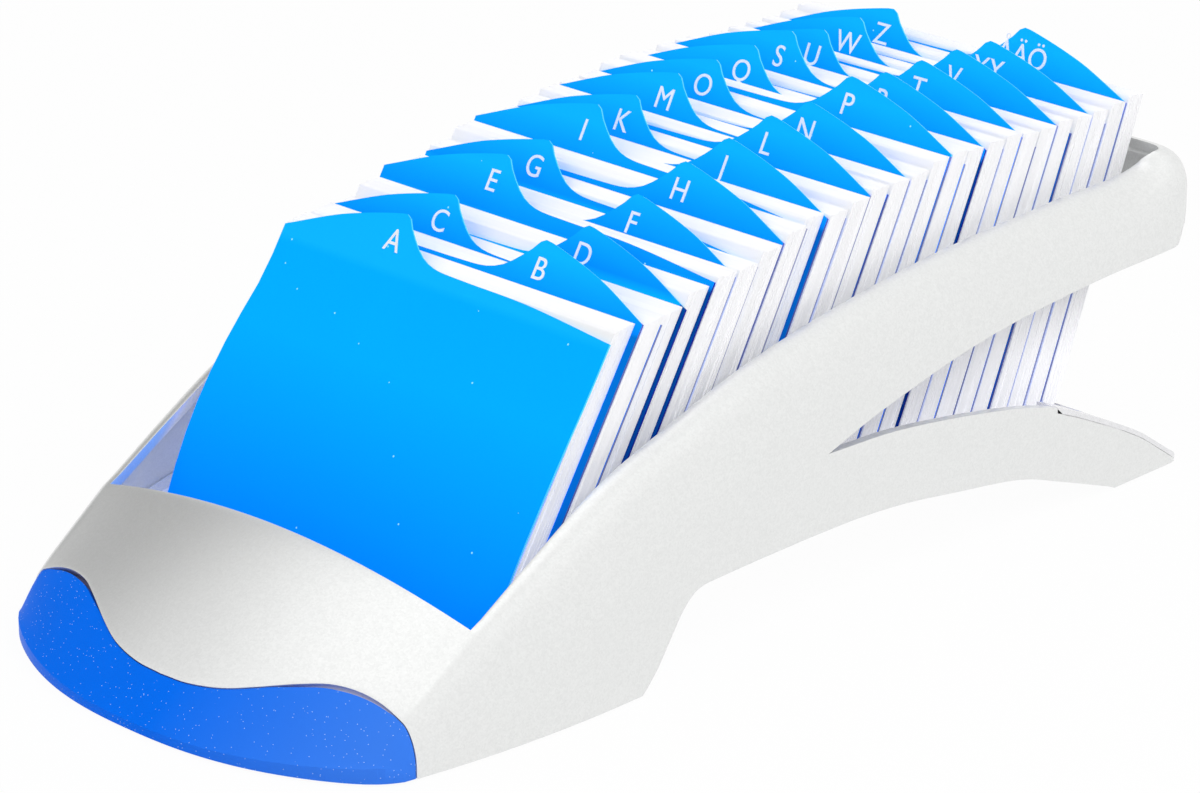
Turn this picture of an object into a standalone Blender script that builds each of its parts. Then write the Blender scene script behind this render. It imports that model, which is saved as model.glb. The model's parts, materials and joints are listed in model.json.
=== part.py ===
"""Arched desk tray for a lettered card index: a silver frame with a blue nose trim, an inner tray,
rubber feet, and a leaning fan of divider sheets and card packs that tip about their own feet.
X runs across, -Y is the front, +Z is up, and the origin is the middle of the footprint."""
import math

import bmesh
import bpy
from mathutils import Matrix, Vector

# Overall sizes; the width follows from the cards
HALF_LENGTH = 0.139
HEIGHT = 0.078
CARD_WIDTH = 0.104
CARD_HEIGHT = 0.074
CARD_TO_ARM = 0.0052
CARD_TO_WALL = 0.0150
HALF_WIDTH = CARD_WIDTH / 2.0 + CARD_TO_WALL
INNER_HALF_WIDTH = CARD_WIDTH / 2.0 + CARD_TO_ARM
WALL = 0.0022
TOUCH_GAP = 0.0003
OVERRUN = 0.020
GROUND_GAP = 0.0008
SMOOTH_ANGLE = math.radians(40.0)

# Frame: shoulder, nose and rear bar
SHOULDER_DROP = 0.022
SHOULDER_DROP_SHARE = 0.72
REAR_SHOULDER_DROP = 0.012
REAR_SHOULDER_LENGTH = 0.050
NOSE_SHOULDER_REACH = 0.0034
BAR_SHOULDER_RADIUS = 0.0050
REAR_CORNER_RADIUS = 0.0125
REAR_CORNER_POWER = 3.2
NOSE_LIP_HEIGHT = 0.0030
NOSE_SIDE_HEIGHT = 0.0046
NOSE_ARC_DEPTH = 0.023
NOSE_ARC_POWER = 2.4
NOSE_CORNER_POWER = 24
NOSE_CORNER_SHARE = 0.13
NOSE_FLARE_LENGTH = 0.059
NOSE_FLARE = 0.0062
SIDE_LINE_POWER = 1.5
SIDE_RISE_POWER = 8
SIDE_RISE_SHARE = 0.20
CROWN_RISE_POWER = 1.2
COVER_CROWN = 0.0072
COVER_BOW = 0.0020
BAR_LEAN = 0.0088
FRONT_LINES = 12
COVER_COLUMNS = 14
ROLL_STEPS = 6
ARM_STATIONS = 22
CORNER_STEPS = 6
BAR_STEPS = 6
WALL_ROW_SHARES = (0.0, 0.765, 0.875)
LEAN_SHARES = (0.0, 1.0, 0.08)

# Side view of the frame, as shares of HALF_LENGTH and HEIGHT
CREST_SHARES = ((-0.666, 0.345), (-0.533, 0.484), (-0.395, 0.617), (-0.268, 0.697), (-0.036, 0.817),
                (0.324, 0.913), (0.683, 0.946), (0.878, 0.954), (0.971, 1.0))
ARM_EDGE_SHARES = ((0.059, 0.508), (0.188, 0.575), (0.432, 0.664), (0.712, 0.708), (0.925, 0.717))
LEG_EDGE_SHARES = ((0.059, 0.508), (0.231, 0.491), (0.482, 0.421), (0.626, 0.356), (0.747, 0.262),
                   (0.858, 0.160), (0.916, 0.090), (0.960, 0.036), (0.976, 0.020))
UNDER_EDGE_SHARES = ((-0.216, 0.269), (0.088, 0.272), (0.235, 0.256), (0.386, 0.217), (0.542, 0.171),
                     (0.646, 0.109), (0.795, 0.008))
FRONT_FOOT_SHARES = ((-0.367, 0.0), (-0.338, 0.062), (-0.304, 0.147), (-0.277, 0.215), (-0.248, 0.258))
EDGE_STEPS = 14
LEG_END_HEIGHT = 0.012
LEG_END_Y = LEG_EDGE_SHARES[-2][0] * HALF_LENGTH
CORNER_START_Y = HALF_LENGTH - REAR_CORNER_RADIUS
COVER_BACK_Y = CREST_SHARES[0][0] * HALF_LENGTH
CROTCH_Y = ARM_EDGE_SHARES[0][0] * HALF_LENGTH
NOSE_SIDE_Y = -HALF_LENGTH + NOSE_ARC_DEPTH

# Nose trim: its upper edge, as shares of the half width and of the nose cover's length
WAVE_SHARES = ((0.0, 0.205), (0.12, 0.214), (0.25, 0.255), (0.36, 0.322), (0.50, 0.428), (0.58, 0.486),
               (0.67, 0.528), (0.76, 0.550), (0.86, 0.554), (1.0, 0.560))
WAVE_STEPS = 40
TRIM_GAP = 0.0004
SEAT_SINK = 0.0008
SEAT_THICKNESS = 0.0036
SEAT_FIRST_LINE = 1
SEAT_LAST_LINE = 8

# Inner tray
TRAY_THICKNESS = 0.0014
LEDGE_WIDTH = 0.0025
RAIL_HEIGHT = 0.0041
FLOOR_FRONT_HEIGHT = 0.0139
FLOOR_REAR_HEIGHT = 0.0180
FLOOR_RISE = 0.0068
CHANNEL_FRONT_REACH = 0.0039
CHANNEL_REAR_SPACE = 0.0312
TAIL_PLATE_SPACE = 0.0510
TAIL_PLATE_END_SPACE = 0.0033
CHANNEL_FRONT_Y = COVER_BACK_Y - CHANNEL_FRONT_REACH
CHANNEL_REAR_Y = HALF_LENGTH - CHANNEL_REAR_SPACE
TAIL_PLATE_Y = HALF_LENGTH - TAIL_PLATE_SPACE
TAIL_PLATE_END_Y = HALF_LENGTH - TAIL_PLATE_END_SPACE
TAIL_PLATE_THICKNESS = 0.0013
TAIL_CORNER_RADIUS = 0.004
END_WALL_THICKNESS = 0.0014
FRONT_WALL_HEIGHT = 0.0055
TRAY_STATIONS = 22
TAIL_STATIONS = 12

# Rubber feet and the pads that hold them
FOOT_RADIUS = 0.0042
FOOT_HEIGHT = 0.0016
PAD_THICKNESS = 0.0030
PAD_LIFT = 0.0004
PAD_WIDTH = 0.0115
PAD_LENGTH = 0.0130
FRONT_PAD_SPACE = 0.0100
REAR_PAD_SPACE = 0.0195
FRONT_PAD_Y = FRONT_FOOT_SHARES[0][0] * HALF_LENGTH - FRONT_PAD_SPACE
REAR_PAD_Y = HALF_LENGTH - REAR_PAD_SPACE
FOOT_SEGMENTS = 20

# Cards and divider sheets
DIVIDER_THICKNESS = 0.00045
TAB_RISE = 0.0108
PACK_TOP_RISE = 0.0003
REAR_TOP_RISE = 0.0018
PACK_SIDE_STEP = 0.0006
FAN_FRONT_SPACE = 0.0098
FAN_REAR_SPACE = 0.0330
FAN_FRONT_Y = COVER_BACK_Y + FAN_FRONT_SPACE
FAN_REAR_Y = HALF_LENGTH - FAN_REAR_SPACE
FRONT_LEAN = math.radians(33.2)
REAR_LEAN = math.radians(22.4)
# A divider's upper edge from its tab side to its plain side, as shares of the card's width and of the
# tab's rise above the card
TAB_EDGE_SHARES = ((0.0, 0.0), (0.13, 0.51), (0.20, 0.72), (0.265, 0.88), (0.315, 0.985), (0.33, 1.0),
                   (0.343, 0.93), (0.358, 0.74), (0.40, 0.37), (0.43, 0.20), (0.47, 0.10), (0.54, 0.07),
                   (0.75, 0.03), (1.0, -0.17))
TAB_EDGE_STEPS = 2
# How much higher or lower each divider's upper edge stands in the row, front to rear, as shares of the
# tab's rise
SETTLE_SHARES = (0.04, -0.03, -0.20, -0.37, 0.08, -0.27, -0.15, -0.08, 0.16, -0.04, -0.08, 0.03,
                 0.02, -0.05, -0.03, 0.18, -0.02, -0.03, 0.03, -0.03, -0.19, -0.02, -0.12, -0.03,
                 -0.10, 0.10)
FAN_SAMPLES = 400
PACK_FOOT_STEPS = 6
LABELS = [chr(ord("A") + n) for n in range(23)] + ["XY", "Z", "accents"]


def clear_scene():
    for item in list(bpy.data.objects):
        bpy.data.objects.remove(item, do_unlink=True)


def material(name, colour, roughness, metallic=0.0):
    made = bpy.data.materials.new(name)
    made.use_nodes = True
    shader = made.node_tree.nodes["Principled BSDF"]
    shader.inputs["Base Color"].default_value = (*colour, 1.0)
    shader.inputs["Roughness"].default_value = roughness
    shader.inputs["Metallic"].default_value = metallic
    return made


def add_object(name, bm, finish=None, smooth_angle=None):
    """Turn a bmesh into a named object in the scene."""
    mesh = bpy.data.meshes.new(name)
    bm.to_mesh(mesh)
    bm.free()
    thing = bpy.data.objects.new(name, mesh)
    bpy.context.collection.objects.link(thing)
    if finish:
        mesh.materials.append(finish)
    if smooth_angle:
        mesh.shade_smooth()
        mesh.set_sharp_from_angle(angle=smooth_angle)
    return thing


def hide_tool(thing):
    thing.hide_render = True
    thing.display_type = "WIRE"
    return thing


def combine(thing, tool, operation):
    """Add an exact Boolean that joins, cuts or keeps what the tool covers, and return it."""
    step = thing.modifiers.new(operation.lower() + "_" + tool.name, "BOOLEAN")
    step.object = hide_tool(tool)
    step.operation = operation
    step.solver = "EXACT"
    return step


def thicken(thing, thickness):
    """Give an open skin a thickness behind its outer face."""
    step = thing.modifiers.new("thickness", "SOLIDIFY")
    step.thickness = thickness
    step.offset = -1.0
    step.use_even_offset = True
    step.use_quality_normals = True


def smooth_curve(points):
    """Return a function through (place, value) points: cubic pieces with shared slopes."""
    places = [p for p, _ in points]
    values = [v for _, v in points]
    last = len(points) - 1
    slopes = []
    for n in range(last + 1):
        before, after = max(n - 1, 0), min(n + 1, last)
        slopes.append((values[after] - values[before]) / (places[after] - places[before]))

    def value_at(place):
        if place <= places[0]:
            return values[0] + slopes[0] * (place - places[0])
        if place >= places[last]:
            return values[last]
        n = max(k for k in range(last) if places[k] <= place)
        span = places[n + 1] - places[n]
        t = (place - places[n]) / span
        rise = values[n + 1] - values[n]
        start, end = slopes[n] * span, slopes[n + 1] * span
        return (values[n] + start * t + (3 * rise - 2 * start - end) * t ** 2
                + (start + end - 2 * rise) * t ** 3)
    return value_at


def side_curve(shares):
    return smooth_curve([(y * HALF_LENGTH, z * HEIGHT) for y, z in shares])


crest_height = side_curve(CREST_SHARES)
arm_edge = side_curve(ARM_EDGE_SHARES)
leg_edge = side_curve(LEG_EDGE_SHARES)
under_edge = side_curve(UNDER_EDGE_SHARES)


def half_width_at(y):
    """Half width of the outer wall: straight, flaring in towards the nose."""
    into_flare = (NOSE_SIDE_Y + NOSE_FLARE_LENGTH - y) / NOSE_FLARE_LENGTH
    return HALF_WIDTH - NOSE_FLARE * min(max(into_flare, 0.0), 1.0) ** 2


def arm_section(y):
    """Crest height of the arms, and how far their shoulder reaches inwards and drops."""
    crest = crest_height(y)
    into_rear = max(y - CORNER_START_Y + REAR_SHOULDER_LENGTH, 0.0)
    drop = min(SHOULDER_DROP, (crest - GROUND_GAP) * SHOULDER_DROP_SHARE)
    drop += (REAR_SHOULDER_DROP - SHOULDER_DROP) * (into_rear / REAR_SHOULDER_LENGTH) ** 2
    return crest, half_width_at(y) - INNER_HALF_WIDTH, drop


def inner_half_width(y, z):
    """Half of the free width between the walls at one height, less a gap."""
    crest, reach, drop = arm_section(y)
    up = min(max((z - crest + drop) / drop, 0.0), 1.0)
    level = math.sqrt(1.0 - up ** 2)
    facing = drop * level / math.hypot(drop * level, reach * up)
    return half_width_at(y) - reach * (1.0 - level) - WALL / facing ** 2 - TOUCH_GAP


def floor_height(y):
    """Upper face of the channel floor: a shallow arch along the tray."""
    share = (y - FAN_FRONT_Y) / (FAN_REAR_Y - FAN_FRONT_Y)
    straight = FLOOR_FRONT_HEIGHT + (FLOOR_REAR_HEIGHT - FLOOR_FRONT_HEIGHT) * share
    return straight + FLOOR_RISE * 4.0 * share * (1.0 - share)


def floor_slope(y):
    return math.atan2(floor_height(y + WALL) - floor_height(y - WALL), 2.0 * WALL)


def spoke(outer, inward, crest, reach, drop, lean=0.0, foot=GROUND_GAP):
    """Points of one rib of the outer skin, from its foot up the wall and over the shoulder, which
    reaches inwards and drops to the wall as a quarter of an ellipse."""
    wall_top = crest - drop
    points = []
    for row, lean_share in zip(WALL_ROW_SHARES, LEAN_SHARES):
        place = outer + inward * (lean * lean_share)
        points.append(Vector((place.x, place.y, foot + (wall_top - foot) * row)))
    for step in range(ROLL_STEPS + 1):
        angle = math.pi / 2 * step / ROLL_STEPS
        place = outer + inward * (reach * (1.0 - math.cos(angle)))
        points.append(Vector((place.x, place.y, wall_top + drop * math.sin(angle))))
    return points


def front_line(share, foot=GROUND_GAP):
    """One line across the nose cover, from the left foot over the crown to the right foot."""
    back_height = crest_height(COVER_BACK_Y)
    along = share ** SIDE_LINE_POWER
    side_y = NOSE_SIDE_Y + (COVER_BACK_Y - NOSE_SIDE_Y) * along
    centre_y = -HALF_LENGTH + (COVER_BACK_Y - COVER_BOW + HALF_LENGTH) * share
    rise = SIDE_RISE_SHARE * eased(along, SIDE_RISE_POWER) + (1.0 - SIDE_RISE_SHARE) * along
    side_z = NOSE_SIDE_HEIGHT + (back_height - NOSE_SIDE_HEIGHT) * rise
    centre_z = NOSE_LIP_HEIGHT + ((back_height + COVER_CROWN - NOSE_LIP_HEIGHT)
                                  * eased(share, CROWN_RISE_POWER))
    half_width = half_width_at(side_y)
    back_reach = half_width_at(COVER_BACK_Y) - INNER_HALF_WIDTH
    reach = NOSE_SHOULDER_REACH + (back_reach - NOSE_SHOULDER_REACH) * share
    drop = (side_z - GROUND_GAP) * SHOULDER_DROP_SHARE
    right = spoke(Vector((half_width, side_y)), Vector((-1.0, 0.0)), side_z, reach, drop, foot=foot)
    left = [Vector((-p.x, p.y, p.z)) for p in right]
    crown = []
    for column in range(1, COVER_COLUMNS):
        across = 2.0 * column / COVER_COLUMNS - 1.0
        crown.append(Vector((across * (half_width - reach), side_y,
                             centre_z + (side_z - centre_z) * across ** 2)))
    line = left + crown + list(reversed(right))
    corner = NOSE_CORNER_SHARE * (1.0 - share)
    for p in line:
        out = abs(p.x) / half_width
        fall = (1.0 - corner) * out ** NOSE_ARC_POWER + corner * out ** NOSE_CORNER_POWER
        p.y = centre_y + (side_y - centre_y) * fall
    return line


def eased(share, power):
    """Share from 0 to 1 that climbs faster at the start."""
    return 1.0 - (1.0 - share) ** power


def arm_spokes():
    """Ribs of the right arm, the rear corners and the rear bar, round to the left arm."""
    right = []
    for n in range(1, ARM_STATIONS + 1):
        y = COVER_BACK_Y + (CORNER_START_Y - COVER_BACK_Y) * n / ARM_STATIONS
        right.append(spoke(Vector((half_width_at(y), y)), Vector((-1.0, 0.0)), *arm_section(y)))
    centre = Vector((HALF_WIDTH - REAR_CORNER_RADIUS, CORNER_START_Y))
    arm_reach = HALF_WIDTH - INNER_HALF_WIDTH
    for n in range(1, CORNER_STEPS + 1):
        turn = math.pi / 2 * n / CORNER_STEPS
        out = Vector([value ** (2.0 / REAR_CORNER_POWER) for value in (math.cos(turn), math.sin(turn))])
        place = centre + out * REAR_CORNER_RADIUS
        out.normalize()
        reach = arm_reach + (BAR_SHOULDER_RADIUS - arm_reach) * n / CORNER_STEPS
        drop = REAR_SHOULDER_DROP + (BAR_SHOULDER_RADIUS - REAR_SHOULDER_DROP) * n / CORNER_STEPS
        right.append(spoke(place, -out, crest_height(place.y), reach, drop, BAR_LEAN * out.y ** 2))
    bar = []
    for n in range(1, BAR_STEPS):
        x = centre.x * (1.0 - 2.0 * n / BAR_STEPS)
        bar.append(spoke(Vector((x, HALF_LENGTH)), Vector((0.0, -1.0)), crest_height(HALF_LENGTH),
                         BAR_SHOULDER_RADIUS, BAR_SHOULDER_RADIUS, BAR_LEAN))
    left = [[Vector((-p.x, p.y, p.z)) for p in rib] for rib in reversed(right)]
    return right + bar + left


def add_quads(bm, lines):
    """Join neighbouring lines of vertices with four-sided faces."""
    for first, second in zip(lines, lines[1:]):
        for n in range(len(first) - 1):
            bm.faces.new((first[n], first[n + 1], second[n + 1], second[n]))


def nose_skin(bm, foot=GROUND_GAP):
    """The nose cover with its side walls and front lip, as an open skin."""
    lines = [[bm.verts.new(p) for p in front_line(n / FRONT_LINES, foot)]
             for n in range(FRONT_LINES + 1)]
    add_quads(bm, lines)
    rows = len(WALL_ROW_SHARES)
    front = lines[0]
    edge = front[rows + 1:len(front) - rows - 1]
    lip = [bm.verts.new((v.co.x, v.co.y, foot)) for v in edge]
    add_quads(bm, [lip, edge])
    bm.faces.new([lip[0]] + front[:rows + 2])
    bm.faces.new(front[len(front) - rows - 2:] + [lip[-1]])
    return lines


def face_outwards(bm):
    """Turn every face of an open skin away from the middle of the tray."""
    bmesh.ops.recalc_face_normals(bm, faces=bm.faces)
    highest = max(bm.faces, key=lambda face: face.calc_center_median().z)
    if highest.normal.z < 0.0:
        bmesh.ops.reverse_faces(bm, faces=bm.faces)


def prism(name, outline, axis, low, high):
    """Close a flat outline into a prism along X or Z."""
    bm = bmesh.new()
    if axis == "X":
        corners = [bm.verts.new((low, y, z)) for y, z in outline]
    else:
        corners = [bm.verts.new((x, y, low)) for x, y in outline]
    face = bm.faces.new(corners)
    grown = bmesh.ops.extrude_face_region(bm, geom=[face])
    shift = Vector((high - low, 0.0, 0.0)) if axis == "X" else Vector((0.0, 0.0, high - low))
    moved = [item for item in grown["geom"] if isinstance(item, bmesh.types.BMVert)]
    bmesh.ops.translate(bm, verts=moved, vec=shift)
    bmesh.ops.recalc_face_normals(bm, faces=bm.faces)
    return add_object(name, bm)


def block(name, low, high):
    """A box between two corners."""
    bm = bmesh.new()
    size = Vector(high) - Vector(low)
    place = Matrix.Translation((Vector(high) + Vector(low)) / 2.0) @ Matrix.Diagonal((*size, 1.0))
    bmesh.ops.create_cube(bm, size=1.0, matrix=place)
    return add_object(name, bm)


def disc(name, x, y, low, high, radius, finish=None):
    bm = bmesh.new()
    bmesh.ops.create_cone(bm, cap_ends=True, segments=FOOT_SEGMENTS, radius1=radius, radius2=radius,
                          depth=high - low, matrix=Matrix.Translation((x, y, (low + high) / 2.0)))
    return add_object(name, bm, finish)


def sampled(curve, start, end, steps):
    return [(start + (end - start) * n / steps, curve(start + (end - start) * n / steps))
            for n in range(steps + 1)]


def window_outline(top_gap):
    """Side view of the gap between the arms and the legs, open to the rear; the legs are lowered
    under the tail plate by its thickness and the given gap."""
    arm_end = ARM_EDGE_SHARES[-1][0] * HALF_LENGTH
    upper = sampled(arm_edge, CROTCH_Y, arm_end, EDGE_STEPS)
    rear = HALF_LENGTH + OVERRUN
    lowered = TAIL_PLATE_THICKNESS + top_gap
    plate_edge = TAIL_PLATE_Y - top_gap
    tail = sampled(leg_edge, LEG_EDGE_SHARES[-1][0] * HALF_LENGTH, plate_edge, EDGE_STEPS)
    leg = sampled(leg_edge, plate_edge, CROTCH_Y, EDGE_STEPS)
    return (upper + [(rear, upper[-1][1]), (rear, -OVERRUN), (tail[0][0], -OVERRUN)]
            + [(y, z - lowered) for y, z in tail] + leg[:-1])


def arch_outline():
    """Side view of the arch under the legs."""
    rise = [(y * HALF_LENGTH, z * HEIGHT) for y, z in FRONT_FOOT_SHARES]
    under = sampled(under_edge, UNDER_EDGE_SHARES[0][0] * HALF_LENGTH,
                    UNDER_EDGE_SHARES[-1][0] * HALF_LENGTH, EDGE_STEPS)
    return [(rise[0][0], -OVERRUN)] + rise + under + [(under[-1][0], -OVERRUN)]


def wave_outline(inset):
    """Plan of the nose that the trim fills: the wave edge, closed round the front."""
    shape = smooth_curve([(x * HALF_WIDTH, y) for x, y in WAVE_SHARES])
    length = COVER_BACK_Y + HALF_LENGTH
    wave = []
    for n in range(WAVE_STEPS + 1):
        x = HALF_WIDTH * (2.0 * n / WAVE_STEPS - 1.0)
        wave.append((x, -HALF_LENGTH + length * shape(abs(x)) - inset))
    ahead = -HALF_LENGTH - OVERRUN
    return ([(-HALF_WIDTH - OVERRUN, wave[0][1])] + wave
            + [(HALF_WIDTH + OVERRUN, wave[-1][1]), (HALF_WIDTH + OVERRUN, ahead),
               (-HALF_WIDTH - OVERRUN, ahead)])


def nose_block(name, low, high, foot=GROUND_GAP):
    """A slab of the nose skin between two depths under its outer face."""
    bm = bmesh.new()
    nose_skin(bm, foot)
    face_outwards(bm)
    bm.normal_update()
    for v in bm.verts:
        v.co -= v.normal * low * v.calc_shell_factor()
    slab = add_object(name, bm, None, SMOOTH_ANGLE)
    thicken(slab, high - low)
    return slab


def cover_backing():
    """Thicker ground under the middle of the nose cover, into which the trim's seat is sunk."""
    bm = bmesh.new()
    rows = len(WALL_ROW_SHARES) + ROLL_STEPS
    lines = []
    for n in range(SEAT_FIRST_LINE, SEAT_LAST_LINE + 1):
        points = front_line(n / FRONT_LINES)
        lines.append([bm.verts.new(p) for p in points[rows:len(points) - rows]])
    add_quads(bm, lines)
    face_outwards(bm)
    bm.normal_update()
    for v in bm.verts:
        v.co -= v.normal * SEAT_SINK
    backing = add_object("cover_backing", bm)
    thicken(backing, SEAT_THICKNESS)
    return backing


def build_frame(finish):
    bm = bmesh.new()
    lines = nose_skin(bm)
    rows = len(WALL_ROW_SHARES) + ROLL_STEPS + 1
    back = lines[-1]
    ribs = [list(reversed(back[-rows:]))]
    ribs += [[bm.verts.new(p) for p in rib] for rib in arm_spokes()[:-1]]
    ribs.append(back[:rows])
    add_quads(bm, ribs)
    face_outwards(bm)
    frame = add_object("frame", bm, finish, SMOOTH_ANGLE)
    thicken(frame, WALL)
    combine(frame, cover_backing(), "UNION")
    seat = nose_block("trim_seat", -WALL, WALL + TOUCH_GAP, -WALL)
    combine(seat, prism("seat_wave", wave_outline(0.0), "Z", -OVERRUN, HEIGHT), "INTERSECT")
    combine(frame, seat, "DIFFERENCE").use_self = True
    for name, x, y in foot_places():
        side = math.copysign(1.0, x)
        edge = side * (half_width_at(y) - WALL / 2.0)
        inner = side * (half_width_at(y) - WALL - PAD_WIDTH)
        combine(frame, block(name + "_pad",
                             (min(edge, inner), y - PAD_LENGTH / 2.0, GROUND_GAP + PAD_LIFT),
                             (max(edge, inner), y + PAD_LENGTH / 2.0, GROUND_GAP + PAD_THICKNESS)),
                "UNION")
        combine(frame, disc(name + "_socket", x, y, -OVERRUN, FOOT_HEIGHT + TOUCH_GAP,
                            FOOT_RADIUS + TOUCH_GAP), "DIFFERENCE")
    reach = HALF_WIDTH + OVERRUN
    combine(frame, block("rear_clearance", (-reach, CORNER_START_Y - WALL / 2.0, -OVERRUN),
                         (reach, HALF_LENGTH + OVERRUN, LEG_END_HEIGHT + WALL)), "DIFFERENCE")
    for side, left, right in (("left", -HALF_WIDTH, WALL - HALF_WIDTH),
                              ("right", HALF_WIDTH - WALL, HALF_WIDTH)):
        combine(frame, block("leg_end_" + side, (left, CORNER_START_Y - WALL, GROUND_GAP),
                             (right, LEG_END_Y, LEG_END_HEIGHT)), "UNION")
    combine(frame, prism("arch", arch_outline(), "X", -reach, reach), "DIFFERENCE")
    combine(frame, prism("side_window", window_outline(TOUCH_GAP), "X", -reach, reach), "DIFFERENCE")
    return frame


def foot_places():
    places = []
    for end, y in (("front", FRONT_PAD_Y), ("rear", REAR_PAD_Y)):
        for side, sign in (("left", -1.0), ("right", 1.0)):
            x = sign * (half_width_at(y) - WALL - PAD_WIDTH / 2.0)
            places.append(("foot_" + end + "_" + side, x, y))
    return places


def build_trim(finish):
    trim = nose_block("front_trim", 0.0, WALL)
    trim.data.materials.append(finish)
    combine(trim, prism("trim_wave", wave_outline(TRIM_GAP), "Z", -OVERRUN, HEIGHT), "INTERSECT")
    return trim


def loft(name, rings, finish=None):
    """Close a row of like outlines into one body."""
    bm = bmesh.new()
    made = [[bm.verts.new(p) for p in ring] for ring in rings]
    for first, second in zip(made, made[1:]):
        for n in range(len(first)):
            after = (n + 1) % len(first)
            bm.faces.new((first[n], first[after], second[after], second[n]))
    bm.faces.new(made[0])
    bm.faces.new(made[-1])
    bmesh.ops.recalc_face_normals(bm, faces=bm.faces)
    return add_object(name, bm, finish)


def rail_height(y):
    """Upper face of the ledges at the tray's sides, which stay under the legs' edge."""
    floor = floor_height(y)
    rail = floor + RAIL_HEIGHT
    if y > CROTCH_Y:
        rail = min(rail, leg_edge(y) - TOUCH_GAP)
    return max(rail, floor + TOUCH_GAP)


def channel_half_width(y):
    """Half of the channel's free width, inside the ledges."""
    return inner_half_width(y, rail_height(y)) - LEDGE_WIDTH - TRAY_THICKNESS


def channel_ring(y):
    """Section of the tray: floor, side walls and the ledges that reach the frame's walls."""
    floor = floor_height(y)
    rail = rail_height(y)
    inner = channel_half_width(y)
    outer = inner + TRAY_THICKNESS
    flange = outer + LEDGE_WIDTH
    half = [(inner, floor), (inner, rail), (flange, rail), (flange, rail - TRAY_THICKNESS),
            (outer, rail - TRAY_THICKNESS), (outer, floor - TRAY_THICKNESS)]
    mirrored = [(-x, z) for x, z in reversed(half)]
    return [(x, y, z) for x, z in half + mirrored]


def tail_ring(y):
    """Section of the tail plate, which lies on the legs; its rear corners are rounded."""
    into_corner = max(y - (TAIL_PLATE_END_Y - TAIL_CORNER_RADIUS), 0.0) / TAIL_CORNER_RADIUS
    half = HALF_WIDTH - TAIL_CORNER_RADIUS * (1.0 - math.sqrt(max(1.0 - into_corner ** 2, 0.0)))
    top = max(leg_edge(y), GROUND_GAP + TAIL_PLATE_THICKNESS)
    under = top - TAIL_PLATE_THICKNESS
    return [(half, y, top), (half, y, under), (-half, y, under), (-half, y, top)]


def build_tray(finish):
    stations = [CHANNEL_FRONT_Y + (CHANNEL_REAR_Y - CHANNEL_FRONT_Y) * n / TRAY_STATIONS
                for n in range(TRAY_STATIONS + 1)]
    tray = loft("inner_tray", [channel_ring(y) for y in stations], finish)
    straight = TAIL_PLATE_END_Y - TAIL_CORNER_RADIUS
    tail = [TAIL_PLATE_Y + (straight - TAIL_PLATE_Y) * n / TAIL_STATIONS
            for n in range(TAIL_STATIONS + 1)]
    tail += [straight + TAIL_CORNER_RADIUS * math.sin(math.pi / 2 * n / CORNER_STEPS)
             for n in range(1, CORNER_STEPS + 1)]
    plate = loft("tail_plate", [tail_ring(y) for y in tail])
    inner = channel_half_width(TAIL_PLATE_Y)
    combine(plate, block("tail_slot", (-inner, TAIL_PLATE_Y - OVERRUN, 0.0),
                         (inner, FAN_REAR_Y + TOUCH_GAP, HEIGHT)), "DIFFERENCE")
    combine(tray, plate, "UNION")
    half = channel_half_width(CHANNEL_FRONT_Y) + TRAY_THICKNESS / 2.0
    floor = floor_height(CHANNEL_FRONT_Y)
    combine(tray, block("front_wall", (-half, CHANNEL_FRONT_Y, floor - TRAY_THICKNESS / 2.0),
                        (half, CHANNEL_FRONT_Y + END_WALL_THICKNESS, floor + FRONT_WALL_HEIGHT)),
            "UNION")
    return tray


def fan_table():
    """Places along the floor against the stack thickness that they hold, measured square to the
    leaning sheets."""
    table = [(0.0, FAN_FRONT_Y)]
    filled = 0.0
    for n in range(FAN_SAMPLES):
        y = FAN_FRONT_Y + (FAN_REAR_Y - FAN_FRONT_Y) * (n + 0.5) / FAN_SAMPLES
        step = (FAN_REAR_Y - FAN_FRONT_Y) / FAN_SAMPLES / math.cos(floor_slope(y))
        filled += step * math.cos(lean_at(y) + floor_slope(y))
        table.append((filled, FAN_FRONT_Y + (FAN_REAR_Y - FAN_FRONT_Y) * (n + 1.0) / FAN_SAMPLES))
    return table


def lean_at(y):
    share = (y - FAN_FRONT_Y) / (FAN_REAR_Y - FAN_FRONT_Y)
    return FRONT_LEAN + (REAR_LEAN - FRONT_LEAN) * share


def place_at(table, filled):
    """Floor place where the stack has the given thickness."""
    for (low, y_low), (high, y_high) in zip(table, table[1:]):
        if filled <= high:
            return y_low + (y_high - y_low) * (filled - low) / (high - low)
    return table[-1][1]


def fan_sizes():
    """Thickness that one divider with its cards may take, and what is left for the cards."""
    table = fan_table()
    total = table[-1][0]
    pitch = total / len(LABELS)
    tallest = CARD_HEIGHT + TAB_RISE * (1.0 + max(SETTLE_SHARES))
    spread = (FRONT_LEAN - REAR_LEAN) * (pitch / 2.0) / total * tallest
    foot_gap = TOUCH_GAP + spread
    pack = pitch - DIVIDER_THICKNESS - 2.0 * foot_gap
    return table, pitch, foot_gap, pack


def fan_seats():
    """Name, hinge place and lean of every divider and card pack, front to rear."""
    table, pitch, foot_gap, pack = fan_sizes()
    seats = []
    for n, label in enumerate(LABELS):
        start = n * pitch + foot_gap / 2.0
        for kind, thickness, depth in (
                ("divider_", DIVIDER_THICKNESS, start + DIVIDER_THICKNESS / 2.0),
                ("cards_", pack, start + DIVIDER_THICKNESS + foot_gap + pack / 2.0)):
            y = place_at(table, depth)
            slope = floor_slope(y)
            up = TOUCH_GAP + pack / 2.0
            seats.append((kind + label, thickness, depth / (pitch * len(LABELS)),
                          (0.0, y - up * math.sin(slope), floor_height(y) + up * math.cos(slope)),
                          lean_at(y)))
    return seats


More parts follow.
